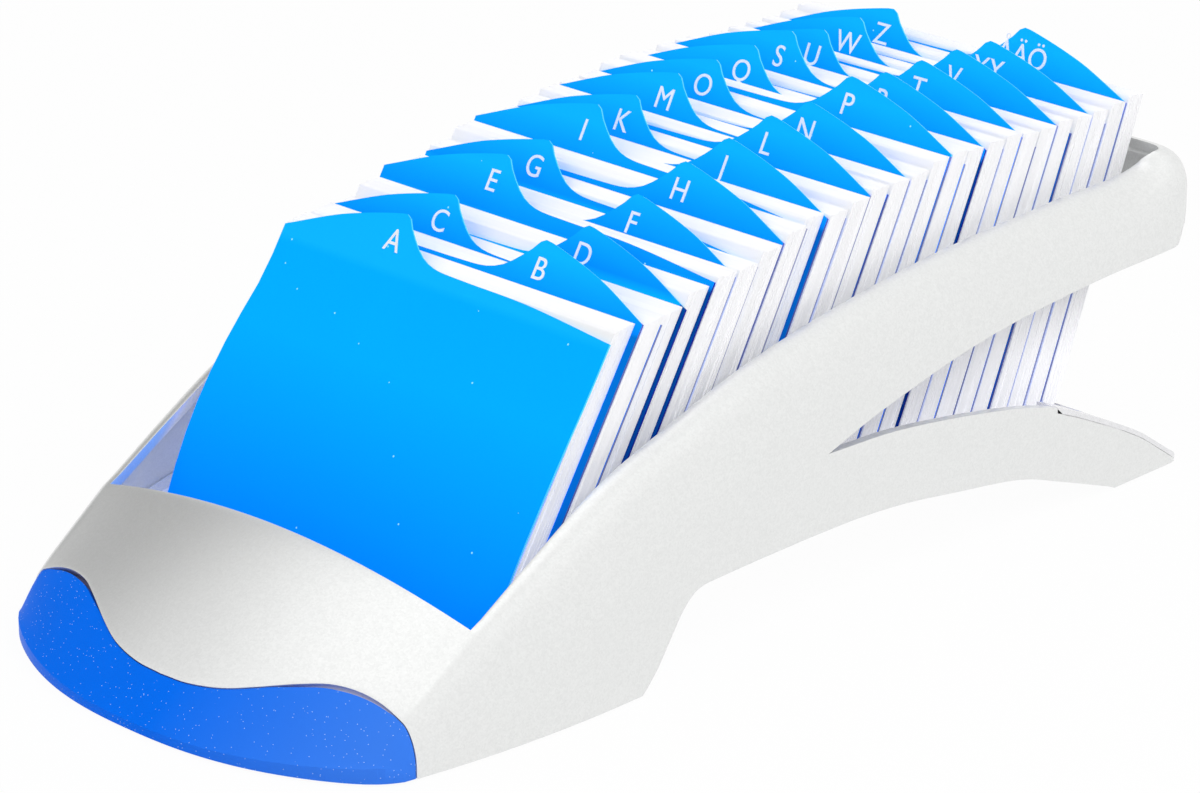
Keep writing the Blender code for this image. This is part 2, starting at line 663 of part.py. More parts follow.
def divider_outline(drop, settle):
    """Front view of a divider with its tab on the left; heights count from the hinge line."""
    half = CARD_WIDTH / 2.0
    rise_at = smooth_curve(TAB_EDGE_SHARES)
    places = [TAB_EDGE_SHARES[-1][0]]
    for (end, _), (start, _) in zip(TAB_EDGE_SHARES[-2::-1], TAB_EDGE_SHARES[:0:-1]):
        places += [start + (end - start) * (n + 1) / TAB_EDGE_STEPS for n in range(TAB_EDGE_STEPS)]
    upper = [(CARD_WIDTH * across - half, CARD_HEIGHT - drop + TAB_RISE * (rise_at(across) + settle))
             for across in places]
    return [(-half, -drop), (half, -drop)] + upper


def lean_object(thing, pivot, lean):
    """Stand a piece on its hinge line and lean it back."""
    thing.location = pivot
    thing.rotation_euler = (-lean, 0.0, 0.0)


def build_divider(name, pivot, lean, thickness, drop, place, finish):
    outline = divider_outline(drop, SETTLE_SHARES[place])
    if place % 2 == 1:
        outline = [(-x, h) for x, h in reversed(outline)]
    bm = bmesh.new()
    face = bm.faces.new([bm.verts.new((x, -thickness / 2.0, h)) for x, h in outline])
    grown = bmesh.ops.extrude_face_region(bm, geom=[face])
    moved = [item for item in grown["geom"] if isinstance(item, bmesh.types.BMVert)]
    bmesh.ops.translate(bm, verts=moved, vec=(0.0, thickness, 0.0))
    bmesh.ops.recalc_face_normals(bm, faces=bm.faces)
    divider = add_object(name, bm, finish)
    lean_object(divider, pivot, lean)
    return divider


def build_pack(name, pivot, lean, thickness, place, finish):
    """A pack of cards: a slab whose foot is rounded about its hinge line. Its top runs parallel to
    the floor, as each card stands on it, and settles with the sheets before and behind it."""
    radius = thickness / 2.0
    near = SETTLE_SHARES[place:place + 2]
    rise = PACK_TOP_RISE + (REAR_TOP_RISE - PACK_TOP_RISE) * place / len(SETTLE_SHARES)
    top = CARD_HEIGHT + rise + TAB_RISE * sum(near) / len(near) - radius
    climb = radius * math.tan(lean + floor_slope(pivot[1]))
    outline = [(-radius, top - climb)]
    for n in range(PACK_FOOT_STEPS + 1):
        turn = math.pi * n / PACK_FOOT_STEPS
        outline.append((-radius * math.cos(turn), -radius * math.sin(turn)))
    outline.append((radius, top + climb))
    half = CARD_WIDTH / 2.0 - PACK_SIDE_STEP
    pack = loft(name, [[(x, y, z) for y, z in outline] for x in (-half, half)], finish)
    lean_object(pack, pivot, lean)
    return pack


def build_fan(sheet_finish, card_finish):
    pack = fan_sizes()[3]
    for n, (name, thickness, _, pivot, lean) in enumerate(fan_seats()):
        if name.startswith("divider_"):
            build_divider(name, pivot, lean, thickness, pack / 2.0, n // 2, sheet_finish)
        else:
            build_pack(name, pivot, lean, thickness, n // 2, card_finish)


def build_feet(finish):
    for name, x, y in foot_places():
        disc(name, x, y, 0.0, FOOT_HEIGHT, FOOT_RADIUS, finish)


def main():
    clear_scene()
    silver = material("silver_paint", (0.80, 0.80, 0.79), 0.32, 0.45)
    blue_trim = material("blue_sparkle", (0.0, 0.13, 0.80), 0.30)
    blue_sheet = material("blue_polypropylene", (0.0, 0.36, 1.0), 0.35)
    card = material("white_card", (0.90, 0.90, 0.92), 0.80)
    rubber = material("grey_rubber", (0.25, 0.25, 0.26), 0.85)
    build_frame(silver)
    build_trim(blue_trim)
    build_tray(silver)
    build_feet(rubber)
    build_fan(blue_sheet, card)


main()
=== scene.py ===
"""Looks of an arched desk tray that holds lettered dividers and index cards."""
import json
import math
import random

import bmesh
import bpy
from bpy.props import FloatProperty, FloatVectorProperty, IntProperty, PointerProperty
from mathutils import Matrix, Vector


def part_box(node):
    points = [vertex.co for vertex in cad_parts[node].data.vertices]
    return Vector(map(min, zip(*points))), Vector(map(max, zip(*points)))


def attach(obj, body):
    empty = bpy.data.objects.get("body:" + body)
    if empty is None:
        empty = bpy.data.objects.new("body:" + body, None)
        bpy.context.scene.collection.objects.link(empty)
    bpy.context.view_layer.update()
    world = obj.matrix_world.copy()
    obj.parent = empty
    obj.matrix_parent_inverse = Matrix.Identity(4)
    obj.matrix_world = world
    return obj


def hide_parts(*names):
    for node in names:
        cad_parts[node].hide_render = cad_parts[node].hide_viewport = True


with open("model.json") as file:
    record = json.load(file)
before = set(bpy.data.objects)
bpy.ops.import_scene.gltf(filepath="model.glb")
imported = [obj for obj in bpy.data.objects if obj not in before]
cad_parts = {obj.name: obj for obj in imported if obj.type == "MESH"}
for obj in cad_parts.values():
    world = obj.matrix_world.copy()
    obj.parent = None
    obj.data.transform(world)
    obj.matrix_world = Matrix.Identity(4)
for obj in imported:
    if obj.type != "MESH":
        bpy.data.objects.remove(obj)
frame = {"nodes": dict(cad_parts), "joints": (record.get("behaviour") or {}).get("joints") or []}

bl_info = {
    "name": "Card Index Tray",
    "version": (1, 0, 0),
    "blender": (4, 5, 0),
    "location": "View3D > Sidebar > Card Tray",
    "description": "Builds a desk tray with its trim, lettered dividers and index cards",
    "category": "Object",
}

STAND = "stand"
SMOOTH_ANGLE = math.radians(38.0)
# Clearance that keeps two surfaces apart
TOUCH = 0.0003
# Plan length over which the arch under a side wall leaves the desk
ARCH_RISE = 0.0165
# Spacing of the shell's ribs along the arm and along the leg, and ribs in a rear corner and half the bar
ARM_STEP, LEG_STEP = 0.0026, 0.0012
CORNER_RIBS, BAR_RIBS = 12, 14
# Ground behind the trim: its start along the cover, how far it runs under the cover, its thickness
SEAT_START, SEAT_REACH, SEAT_DEPTH = 0.07, 0.0035, 0.0012
# Where the joint round the trim is wider, as shares of the half width
FLANK_MIDDLE, FLANK_SPAN = 0.62, 0.20
TRAY_ROUND = 0.00035
# A rubber foot: rounding of its rim, width of the rim and depth of the dish inside it
FOOT_ROUND, FOOT_RIM, FOOT_DISH = 0.0005, 0.0009, 0.0003
# The first divider's bulge: how much it fades across the sheet, and the share of the height it fills
BOW_FADE, BOW_END = 0.7, 0.84
# Places across a divider that keep a column of points, with the widest step between columns
TAB_COLUMNS, COLUMN_STEP, SHEET_ROWS = [0.0, 0.13, 0.315, 0.33, 0.343, 0.358, 0.54, 1.0], 0.021, 10
# A letter: thickness, width and the share of the type size that a capital fills
LETTER_DEPTH, LETTER_WIDTH, CAPITAL_SHARE = 0.00006, 0.96, 0.70
# Cards that sit together, their steps sideways and down, and the step and thickness of single cards
GROUP_SIZES, GROUP_SIDES = (2, 3, 4, 6, 8), (-0.0002, -0.0001, 0.0, 0.0, 0.0001, 0.00015)
GROUP_DROP, CARD_STEP, CARD_FILL, LAST_FILL = 0.0004, 0.00007, 0.95, 0.82
# How much further in each pack ends at its right than the sheets, front to rear
SIDE_STEPS = (0.0019, 0.0, 0.0009, 0.0010, -0.0002, -0.0002, 0.0001, -0.0002, 0.0013, -0.0002, -0.0002,
              0.0002, -0.0002, -0.0002, 0.0001, -0.0002, 0.0005, -0.0002, -0.0002, 0.0, -0.0002, 0.0002,
              -0.0002, -0.0002, -0.0001, 0.0)
# How deep each divider's right side is in shade, front to rear
SHADES = (0.0, 0.7, 0.5, 1.0, 1.0, 0.25, 0.3, 0.7, 0.25, 0.8, 0.3, 0.3, 0.8, 0.25, 0.3, 0.6, 0.25, 1.0,
          0.3, 0.25, 0.5, 0.3, 0.8, 0.3, 0.3, 0.5)
# On a sheet, with the distance each fades over: the strip of painted shade at its right, the height at
# which it comes free of the cards and painted light begins, and the foot of the tab, above which its
# painted shade fades
SIDE_STRIP, SIDE_FADE = 0.0497, 0.0006
FREE_HEIGHT, FREE_FADE = 0.0705, 0.0020
TAB_FOOT, TAB_FADE = 0.0725, 0.0095
# Where a sheet's cut edge is a side edge: beyond this place across and below this height
SIDE_CUT, SIDE_CUT_TOP = 0.0512, 0.0755
# Marks a card's top face among the shades of its sides, so that it gets painted light
TOP_FACE = 2.0
BLACK = (0.0, 0.0, 0.0)
# The camera that was fitted to the photograph
CAMERA_TURN, CAMERA_TILT = math.radians(43.99), math.radians(21.69)
CAMERA_TARGET, CAMERA_DISTANCE, CAMERA_LENS = (0.0, 0.00511, 0.03559), 1.18635, 156.0
LAMP_TARGET = Vector((0.0, 0.0, 0.03))
# Each lamp's name, place, size and power
LAMPS = (("key_lamp", (0.9, 0.1, 1.1), 0.9, 9.0), ("left_lamp", (-0.9, -0.5, 0.9), 0.9, 3.0),
         ("front_lamp", (0.5, -1.3, 0.6), 0.8, 2.5))

# Side view of the frame, as shares of its half length and height
CREST_SHARES = ((-0.666, 0.345), (-0.533, 0.484), (-0.395, 0.617), (-0.268, 0.697), (-0.036, 0.817),
                (0.324, 0.913), (0.683, 0.946), (0.878, 0.954), (0.971, 1.0))
ARM_EDGE_SHARES = ((0.059, 0.508), (0.188, 0.575), (0.432, 0.664), (0.712, 0.708), (0.925, 0.717))
LEG_EDGE_SHARES = ((0.059, 0.508), (0.231, 0.491), (0.482, 0.421), (0.626, 0.356), (0.747, 0.262),
                   (0.858, 0.160), (0.916, 0.090), (0.960, 0.036), (0.976, 0.020))
ARCH_SHARES = ((-0.367, 0.012), (-0.338, 0.062), (-0.304, 0.147), (-0.277, 0.215), (-0.248, 0.258),
               (-0.216, 0.269), (0.088, 0.272), (0.235, 0.256), (0.386, 0.217), (0.542, 0.171),
               (0.646, 0.109), (0.795, 0.012))
# Upper edge of the nose trim, as shares of the half width and of the cover's length
WAVE_SHARES = ((0.0, 0.205), (0.12, 0.214), (0.25, 0.255), (0.36, 0.322), (0.50, 0.428), (0.58, 0.486),
               (0.67, 0.528), (0.76, 0.550), (0.86, 0.554), (1.0, 0.560))
# Upper edge of a divider from its tab side, as shares of the card's width and of the tab's rise
TAB_EDGE_SHARES = ((0.0, 0.0), (0.13, 0.51), (0.20, 0.72), (0.265, 0.88), (0.315, 0.985), (0.33, 1.0),
                   (0.343, 0.93), (0.358, 0.74), (0.40, 0.37), (0.43, 0.20), (0.47, 0.10), (0.54, 0.07),
                   (0.75, 0.03), (1.0, -0.17))
# How much higher or lower each divider's upper edge stands in the row, as shares of the tab's rise
SETTLE_SHARES = (0.04, -0.03, -0.20, -0.37, 0.08, -0.27, -0.15, -0.08, 0.16, -0.04, -0.08, 0.03,
                 0.02, -0.05, -0.03, 0.18, -0.02, -0.03, 0.03, -0.03, -0.19, -0.02, -0.12, -0.03,
                 -0.10, 0.10)


def painted(red, green, blue):
    """A colour picker's value as the linear colour that a shader takes."""
    return tuple((channel / 255.0) ** 2.2 for channel in (red, green, blue))


def number(name, description, default, **limits):
    return FloatProperty(name=name, description=description, default=default, **limits)


def length(name, description, default):
    return number(name, description, default, min=0.0, unit="LENGTH")


def angle(name, description, degrees):
    return number(name, description, math.radians(degrees), subtype="ANGLE", unit="ROTATION")


def colour(name, description, red, green, blue):
    return FloatVectorProperty(name=name, description=description, subtype="COLOR", min=0.0, max=1.0,
                               default=painted(red, green, blue))


class TraySizes(bpy.types.PropertyGroup):
    """Sizes of the frame and its nose trim."""
    half_length: length("Half length", "From the middle of the tray to its rear end", 0.139)
    height: length("Height", "From the desk to the top of the rear bar", 0.078)
    half_width: length("Half width", "From the middle of the tray to a side wall", 0.067)
    inner_half_width: length("Arm spacing", "From the middle to the inner edge of an arm", 0.0572)
    wall: length("Wall", "Thickness of the moulding", 0.0022)
    ground_gap: length("Ground gap", "Height of the moulding above the desk", 0.0008)
    shoulder_drop: length("Shoulder drop", "Height of the rounded shoulder of the arms", 0.022)
    rear_shoulder_drop: length("Rear shoulder drop", "Height of the shoulder at the rear", 0.012)
    rear_shoulder_length: length("Rear shoulder length", "Length over which it changes", 0.050)
    nose_shoulder_reach: length("Nose shoulder reach", "Width of the shoulder at the nose", 0.0034)
    bar_radius: length("Bar radius", "Rounding along the top of the rear bar", 0.005)
    bar_lean: length("Bar lean", "How far the rear bar turns in at its lower edge", 0.0088)
    corner_radius: length("Corner radius", "Plan size of the rear corners", 0.0125)
    tail_corner: length("Tail corner", "Plan radius of the legs' rear ends", 0.004)
    leg_end: length("Leg end", "From the middle of the tray to the legs' rear ends", 0.1334)
    lip_height: length("Lip height", "Height of the nose at its middle", 0.003)
    nose_side_height: length("Nose side height", "Height of the nose at its sides", 0.0046)
    nose_arc: length("Nose arc", "How far the nose bows forwards", 0.023)
    flare_length: length("Flare length", "Length of the nose that draws in", 0.059)
    flare: length("Flare", "How far each side draws in at the nose", 0.0062)
    cover_crown: length("Cover crown", "Rise of the cover's rear edge at its middle", 0.0072)
    cover_bow: length("Cover bow", "How far the cover's rear edge bows forwards", 0.002)
    trim_gap: length("Trim gap", "Joint between the trim and the cover", 0.00015)
    trim_flank_gap: length("Flank gap", "How much wider the joint is beside the humps", 0.0007)
    trim_sink: length("Trim sink", "How far the trim lies below the cover", 0.00025)
    trim_round: length("Trim rounding", "Rounding of the trim's edges", 0.0008)
    edge_round: length("Edge rounding", "Rounding of the moulding's edges", 0.0006)
    plate: length("Tail plate", "Room for the tail plate on the legs", 0.0014)
    plate_start: length("Tail plate start", "Where the tail plate begins, from the middle", 0.0877)
    plate_end: length("Tail plate end", "Where the tail plate ends, from the middle", 0.1357)
    pad_width: length("Pad width", "Width of the ground round a rubber foot", 0.0115)
    pad_length: length("Pad length", "Length of the ground round a rubber foot", 0.013)
    pad_low: length("Pad underside", "Height of the pad's underside above the desk", 0.0012)
    pad_high: length("Pad top", "Height of the pad's top above the desk", 0.0030)


class FanSizes(bpy.types.PropertyGroup):
    """Sizes of the dividers and cards."""
    card_width: length("Card width", "Long edge of a card", 0.104)
    card_height: length("Card height", "Short edge of a card", 0.074)
    tab_rise: length("Tab rise", "How far a tab stands above the cards", 0.0108)
    top_rise: length("Top rise", "How far the first cards end above their nominal height", 0.0003)
    rear_rise: length("Rear rise", "The same for the last cards", 0.0018)
    first_short: length("First sheet", "How much shorter the first divider is at its right", 0.0015)
    bow: length("Bow", "How far the first divider bulges forwards", 0.0026)
    sheet: length("Sheet", "Thickness of a divider", 0.00045)
    pack: length("Pack", "Thickness of a pack at its hinge line", 0.00463)
    foot_fill: number("Foot fill", "Drawn thickness of a pack at its foot", 1.17, min=0.0)
    top_fill: number("Top fill", "Drawn thickness of a pack at its top", 1.08, min=0.0)
    front: number("Front", "Place of the first foot", -0.0828, unit="LENGTH")
    rear: number("Rear", "Place of the last foot", 0.1060, unit="LENGTH")
    front_lean: angle("Front lean", "Lean of the first divider", 33.2)
    rear_lean: angle("Rear lean", "Lean of the last cards", 22.4)
    cards: IntProperty(name="Cards", description="Cards behind one divider", default=17, min=2)
    letter: length("Letter", "Height of a letter", 0.0052)
    letter_place: number("Letter place", "Share of the width before a letter", 0.317)
    letter_lift: length("Letter lift", "Height of a letter's foot above the cards", 0.0018)
    seed: IntProperty(name="Seed", description="Arrangement of the cards", default=7)


class TrayColours(bpy.types.PropertyGroup):
    """Colours of the tray and of what it holds."""
    silver: colour("Silver", "Paint of the frame", 233, 234, 233)
    trim: colour("Trim", "Blue of the nose trim", 0, 112, 248)
    tray: colour("Inner tray", "Paint of the inner tray", 234, 234, 236)
    sheet: colour("Sheet", "Blue of the dividers", 0, 150, 250)
    # Painted light and shade: a glint colour for the dividers' cut edges, a shade colour for their side
    # edges
    sheet_edge: colour("Sheet edge", "Lit edges of the dividers", 60, 205, 255)
    sheet_side: colour("Sheet side", "Shaded side edges of the dividers", 6, 14, 146)
    letter: colour("Letter", "Raised letters", 246, 250, 255)
    card: colour("Card", "White card", 250, 250, 252)
    rubber: colour("Rubber", "Feet", 62, 62, 64)
    # Painted shade: the seat's dark colour stands in for the shadow in the recess
    seat: colour("Seat", "Ground behind the trim", 116, 110, 136)
    floor: colour("Floor", "Floor and backdrop", 255, 255, 255)


class Wire:
    """One output of a material's nodes. Python's operators on it add the Math nodes."""

    def __init__(self, tree, socket=None):
        self.tree = tree
        self.socket = socket

    def node(self, kind, inputs, output=0, **settings):
        """Add any node: its settings first, then the values or links of its sockets."""
        made = self.tree.nodes.new(kind)
        for name, value in settings.items():
            setattr(made, name, value)
        for name, value in inputs.items():
            if isinstance(value, Wire):
                self.tree.links.new(value.socket, made.inputs[name])
            else:
                made.inputs[name].default_value = value
        return Wire(self.tree, made.outputs[output])

    def maths(self, operation, *values, clamp=False):
        return self.node("ShaderNodeMath", dict(enumerate(values)), operation=operation,
                         use_clamp=clamp)

    def __add__(self, other):
        return self.maths("ADD", self, other)

    def __radd__(self, other):
        return self.maths("ADD", other, self)

    def __sub__(self, other):
        return self.maths("SUBTRACT", self, other)

    def __rsub__(self, other):
        return self.maths("SUBTRACT", other, self)

    def __mul__(self, other):
        return self.maths("MULTIPLY", self, other)

    def __truediv__(self, other):
        return self.maths("DIVIDE", self, other)

    def __gt__(self, other):
        return self.maths("GREATER_THAN", self, other)

    def __lt__(self, other):
        return self.maths("LESS_THAN", self, other)

    def clamped(self):
        return self.maths("ADD", self, 0.0, clamp=True)

    def mixed(self, low, high):
        """Blend from the first colour to the second by this value."""
        low, high = ((*value, 1.0) if isinstance(value, tuple) else value for value in (low, high))
        return self.node("ShaderNodeMix", {0: self, 6: low, 7: high}, output=2, data_type="RGBA")


class Finish:
    """A Principled material whose sockets are set by name."""

    def __init__(self, name, **constants):
        self.material = bpy.data.materials.new(name + "_finish")
        self.material.use_nodes = True
        self.tree = self.material.node_tree
        self.shader = self.tree.nodes["Principled BSDF"]
        self.wire = Wire(self.tree)
        self.place = self.wire.node("ShaderNodeTexCoord", {}, output=3)
        for socket, value in constants.items():
            self.set(socket.replace("_", " ").title(), value)

    def set(self, socket, value):
        place = self.shader.inputs[socket.replace("Ior", "IOR")]
        if isinstance(value, Wire):
            self.tree.links.new(value.socket, place)
        elif isinstance(value, tuple):
            place.default_value = (*value, 1.0)
        else:
            place.default_value = value

    def noise(self, size, detail=2.0, roughness=0.5):
        """Soft noise whose features are about this many metres across."""
        return self.wire.node("ShaderNodeTexNoise",
                              {"Vector": self.place, "Scale": 1.0 / size, "Detail": detail,
                               "Roughness": roughness})

    def cells(self, size, output=0):
        """Distance to the middle of random cells, or a random colour for each."""
        return self.wire.node("ShaderNodeTexVoronoi", {"Vector": self.place, "Scale": 1.0 / size},
                              output=output)

    def split(self, vector, part):
        return self.wire.node("ShaderNodeSeparateXYZ", {0: vector}, output=part)

    def along(self, axis):
        """Place on the piece along x, y or z, given as 0, 1 or 2."""
        return self.split(self.place, axis)

    def attribute(self, name):
        return self.wire.node("ShaderNodeAttribute", {}, output=2, attribute_name=name)

    def bump(self, height, distance, strength):
        self.set("Normal", self.wire.node("ShaderNodeBump", {"Height": height, "Distance": distance,
                                                             "Strength": strength}))


def scaled(colour, share):
    """The same colour made darker or lighter, up to white."""
    return tuple(min(value * share, 1.0) for value in colour)


def silver_paint(colours):
    """Metallic paint: fine flakes that catch the light, and a faint orange-peel."""
    made = Finish("silver_paint", metallic=0.70, coat_weight=0.15)
    flake = made.split(made.cells(0.00042, output=1), 0)
    cloud = made.noise(0.0011, detail=3.0)
    tone = (flake * 0.45 + cloud * 0.55).clamped()
    made.set("Base Color", tone.mixed(scaled(colours.silver, 0.92), scaled(colours.silver, 1.055)))
    made.set("Roughness", 0.36 - flake * 0.06)
    made.bump(made.noise(0.0009) + made.cells(0.00042) * 0.5, 0.00002, 0.06)
    return made.material


def tray_paint(colours):
    """Satin silver of the inner moulding, with a painted reflection of the blue sheets glowing over a
    stretch towards the front, where it shows inside the left wall.
    """
    made = Finish("tray_silver", metallic=0.82, coat_weight=0.10, emission_strength=1.0)
    cloud = made.noise(0.0016, detail=3.0)
    made.set("Base Color", cloud.mixed(scaled(colours.tray, 0.90), scaled(colours.tray, 1.06)))
    made.set("Roughness", 0.20 + cloud * 0.10)
    # Painted reflection: a blue glow where the sheets would reflect in the inner wall
    off_middle = made.along(1) + 0.06
    inside = ((0.04 - off_middle.maths("ABSOLUTE", off_middle)) * 40.0).clamped()
    made.set("Emission Color", inside.mixed(BLACK, (0.07, 0.10, 0.20)))
    made.bump(made.noise(0.0012), 0.00002, 0.25)
    return made.material


def trim_blue(colours):
    """Blue moulding with scattered bright specks, and a painted reflection that makes it a little lighter
    towards the right.
    """
    made = Finish("blue_sparkle", specular_ior_level=0.04)
    speck = (made.cells(0.00075) < 0.13) * (made.split(made.cells(0.00075, output=1), 1) > 0.55)
    depth = made.noise(0.012, detail=1.0)
    # Painted reflection: a lighter blue towards the right side
    lighter = ((made.along(0) - 0.005) / 0.05).clamped() * 0.6
    body = lighter.mixed(depth.mixed(scaled(colours.trim, 0.94), tuple(colours.trim)),
                         (0.075, 0.25, 0.84))
    made.set("Base Color", speck.mixed(body, (0.45, 0.66, 1.0)))
    made.set("Roughness", 0.38 - speck * 0.2)
    made.bump(made.noise(0.0010), 0.00001, 0.25)
    return made.material


def sheet_blue(colours):
    """Polypropylene sheet that passes light on: a clear blue with a fine matt grain, and painted light and
    shade:
    painted shade towards the foot, beside the cards and at each tab's foot, painted light above the cards,
    and a painted glow."""
    made = Finish("blue_polypropylene", specular_ior_level=0.0, emission_strength=1.0)
    base = tuple(colours.sheet)
    height, beside = made.attribute("sheet_height"), made.attribute("sheet_shade")
    # Painted shade: a deeper blue towards the foot of the sheet
    up = ((height - 0.006) / 0.045).clamped()
    free = ((height - FREE_HEIGHT) / FREE_FADE).clamped()
    # Painted shade: a navy strip at the right side beside the cards, as deep as SHADES gives
    side = ((made.along(0) - SIDE_STRIP) / SIDE_FADE).clamped() * (1.0 - free) * beside
    # Painted shade at the foot of each tab but the first divider's
    tab_foot_shade = free * (1.0 - ((height - TAB_FOOT) / TAB_FADE).clamped()) * (beside > 0.1) * 0.55
    even = up.mixed((0.0, base[1] * 0.55, base[2] * 0.90), base)
    # Painted light: a lighter blue where the sheet stands free above the cards
    above = (free * 0.8).mixed(even, (0.004, min(base[1] * 1.15, 1.0), 1.0))
    deep = (side * 0.82).mixed(tab_foot_shade.mixed(above, (0.0, 0.10, 0.75)), (0.002, 0.008, 0.19))
    grain = made.noise(0.00045)
    toned = (grain * 0.10).mixed(deep, (0.0, 0.20, 0.70))
    made.set("Base Color", (made.cells(0.0065) < 0.035).mixed(toned, (0.35, 0.75, 1.0)))
    # Painted glow for the light the sheet passes on: dimmer at the tab's foot, dark in the side strip
    painted_glow = (free * 0.25 + up * 0.75).mixed((0.001, 0.12, 0.46), (0.002, 0.165, 0.58))
    painted_glow = tab_foot_shade.mixed(painted_glow, (0.0, 0.06, 0.42))
    made.set("Emission Color", side.mixed(painted_glow, (0.0, 0.003, 0.02)))
    made.set("Roughness", 0.36 + grain * 0.14)
    made.bump(grain, 0.00001, 0.3)
    return made.material


def sheet_edge(colours):
    """Cut edges of the sheets: a painted glint and glow above the cards, and painted shade beside them."""
    made = Finish("blue_sheet_edge", specular_ior_level=0.1, emission_strength=1.0)
    cloud = made.noise(0.004)
    # Painted glint: the lit colour of the cut edges
    lit = cloud.mixed(scaled(colours.sheet_edge, 0.72), tuple(colours.sheet_edge))
    out = made.along(0)
    side = (out.maths("ABSOLUTE", out) > SIDE_CUT) * (made.attribute("sheet_height") < SIDE_CUT_TOP)
    # Painted shade on the side edges beside the cards, from pale to navy as SHADES gives
    edge_shade = made.attribute("sheet_shade").mixed((0.42, 0.45, 0.62), tuple(colours.sheet_side))
    made.set("Base Color", side.mixed(lit, edge_shade))
    # Painted glow on the edges above the cards
    made.set("Emission Color", side.mixed((0.06, 0.20, 0.24), BLACK))
    made.set("Roughness", 0.25 + cloud * 0.15)
    return made.material


def letter_white(colours):
    made = Finish("letter_white", roughness=0.4)
    made.set("Base Color", made.noise(0.0008).mixed(scaled(colours.letter, 0.94), tuple(colours.letter)))
    return made.material


def card_white(colours):
    """Uncoated card: each card its own shade of white, with fine fibre, and painted light: the top faces at
    the lightest white with a glow, and a fainter glow on the sides, stronger low down.
    """
    made = Finish("white_card", roughness=0.75, specular_ior_level=0.2, emission_strength=1.0)
    shade = made.attribute("card_shade")
    fibre = made.noise(0.0007, detail=3.0, roughness=0.6)
    tone = (shade * 0.82 + fibre * 0.18).clamped()
    made.set("Base Color", tone.mixed(scaled(colours.card, 0.84), tuple(colours.card)))
    made.set("Roughness", 0.66 + fibre * 0.16)
    # Painted light: a glow on the sides, stronger low down where they lie in shade, and a brighter one on
    # the top faces
    low = ((0.050 - made.along(2)) / 0.020).clamped()
    side = low.mixed((0.05, 0.05, 0.05), (0.20, 0.20, 0.21))
    made.set("Emission Color", (shade > TOP_FACE - 0.5).mixed(side, (0.30, 0.30, 0.28)))
    made.bump(fibre, 0.00002, 0.25)
    return made.material


def foot_rubber(colours):
    made = Finish("grey_rubber", roughness=0.8)
    grain = made.noise(0.0005, detail=3.0)
    made.set("Base Color", grain.mixed(scaled(colours.rubber, 0.75), tuple(colours.rubber)))
    made.set("Roughness", 0.72 + grain * 0.2)
    made.bump(grain, 0.00004, 0.4)
    return made.material


def seat_shade(colours):
    """Ground of the seat that the trim is let into: its dark colour a painted shade, made paler towards the
    right by painted light.
    """
    made = Finish("trim_seat_paint", metallic=0.2, roughness=0.5, emission_strength=1.0)
    made.set("Base Color", made.noise(0.002).mixed(scaled(colours.seat, 0.8), tuple(colours.seat)))
    # Painted light: a glow that makes the joint paler towards the right
    right = (made.along(0) / 0.02).clamped()
    made.set("Emission Color", right.mixed(BLACK, (0.30, 0.31, 0.42)))
    return made.material


MATERIAL_MAKERS = {
    "silver_paint": silver_paint,
    "tray_silver": tray_paint,
    "blue_sparkle": trim_blue,
    "blue_polypropylene": sheet_blue,
    "blue_sheet_edge": sheet_edge,
    "letter_white": letter_white,
    "white_card": card_white,
    "grey_rubber": foot_rubber,
    "trim_seat_paint": seat_shade,
}


def finish_named(context, name):
    """The finish of this name, made when it is first asked for."""
    if name + "_finish" not in bpy.data.materials:
        return MATERIAL_MAKERS[name](context.scene.tray_colours)
    return bpy.data.materials[name + "_finish"]


def smooth_curve(points):
    """Return a function through (place, value) points: cubic pieces with shared slopes."""
    places = [p for p, _ in points]
    values = [v for _, v in points]
    last = len(points) - 1
    slopes = []
    for n in range(last + 1):
        before, after = max(n - 1, 0), min(n + 1, last)
        slopes.append((values[after] - values[before]) / (places[after] - places[before]))

    def value_at(place):
        if place <= places[0]:
            return values[0] + slopes[0] * (place - places[0])
        if place >= places[last]:
            return values[last]
        n = max(k for k in range(last) if places[k] <= place)
        span = places[n + 1] - places[n]
        t = (place - places[n]) / span
        rise = values[n + 1] - values[n]
        start, end = slopes[n] * span, slopes[n + 1] * span
        return (values[n] + start * t + (3 * rise - 2 * start - end) * t ** 2
                + (start + end - 2 * rise) * t ** 3)
    return value_at


def eased(value, power):
    """A share from 0 to 1 that climbs faster at the start."""
    return 1.0 - (1.0 - value) ** power


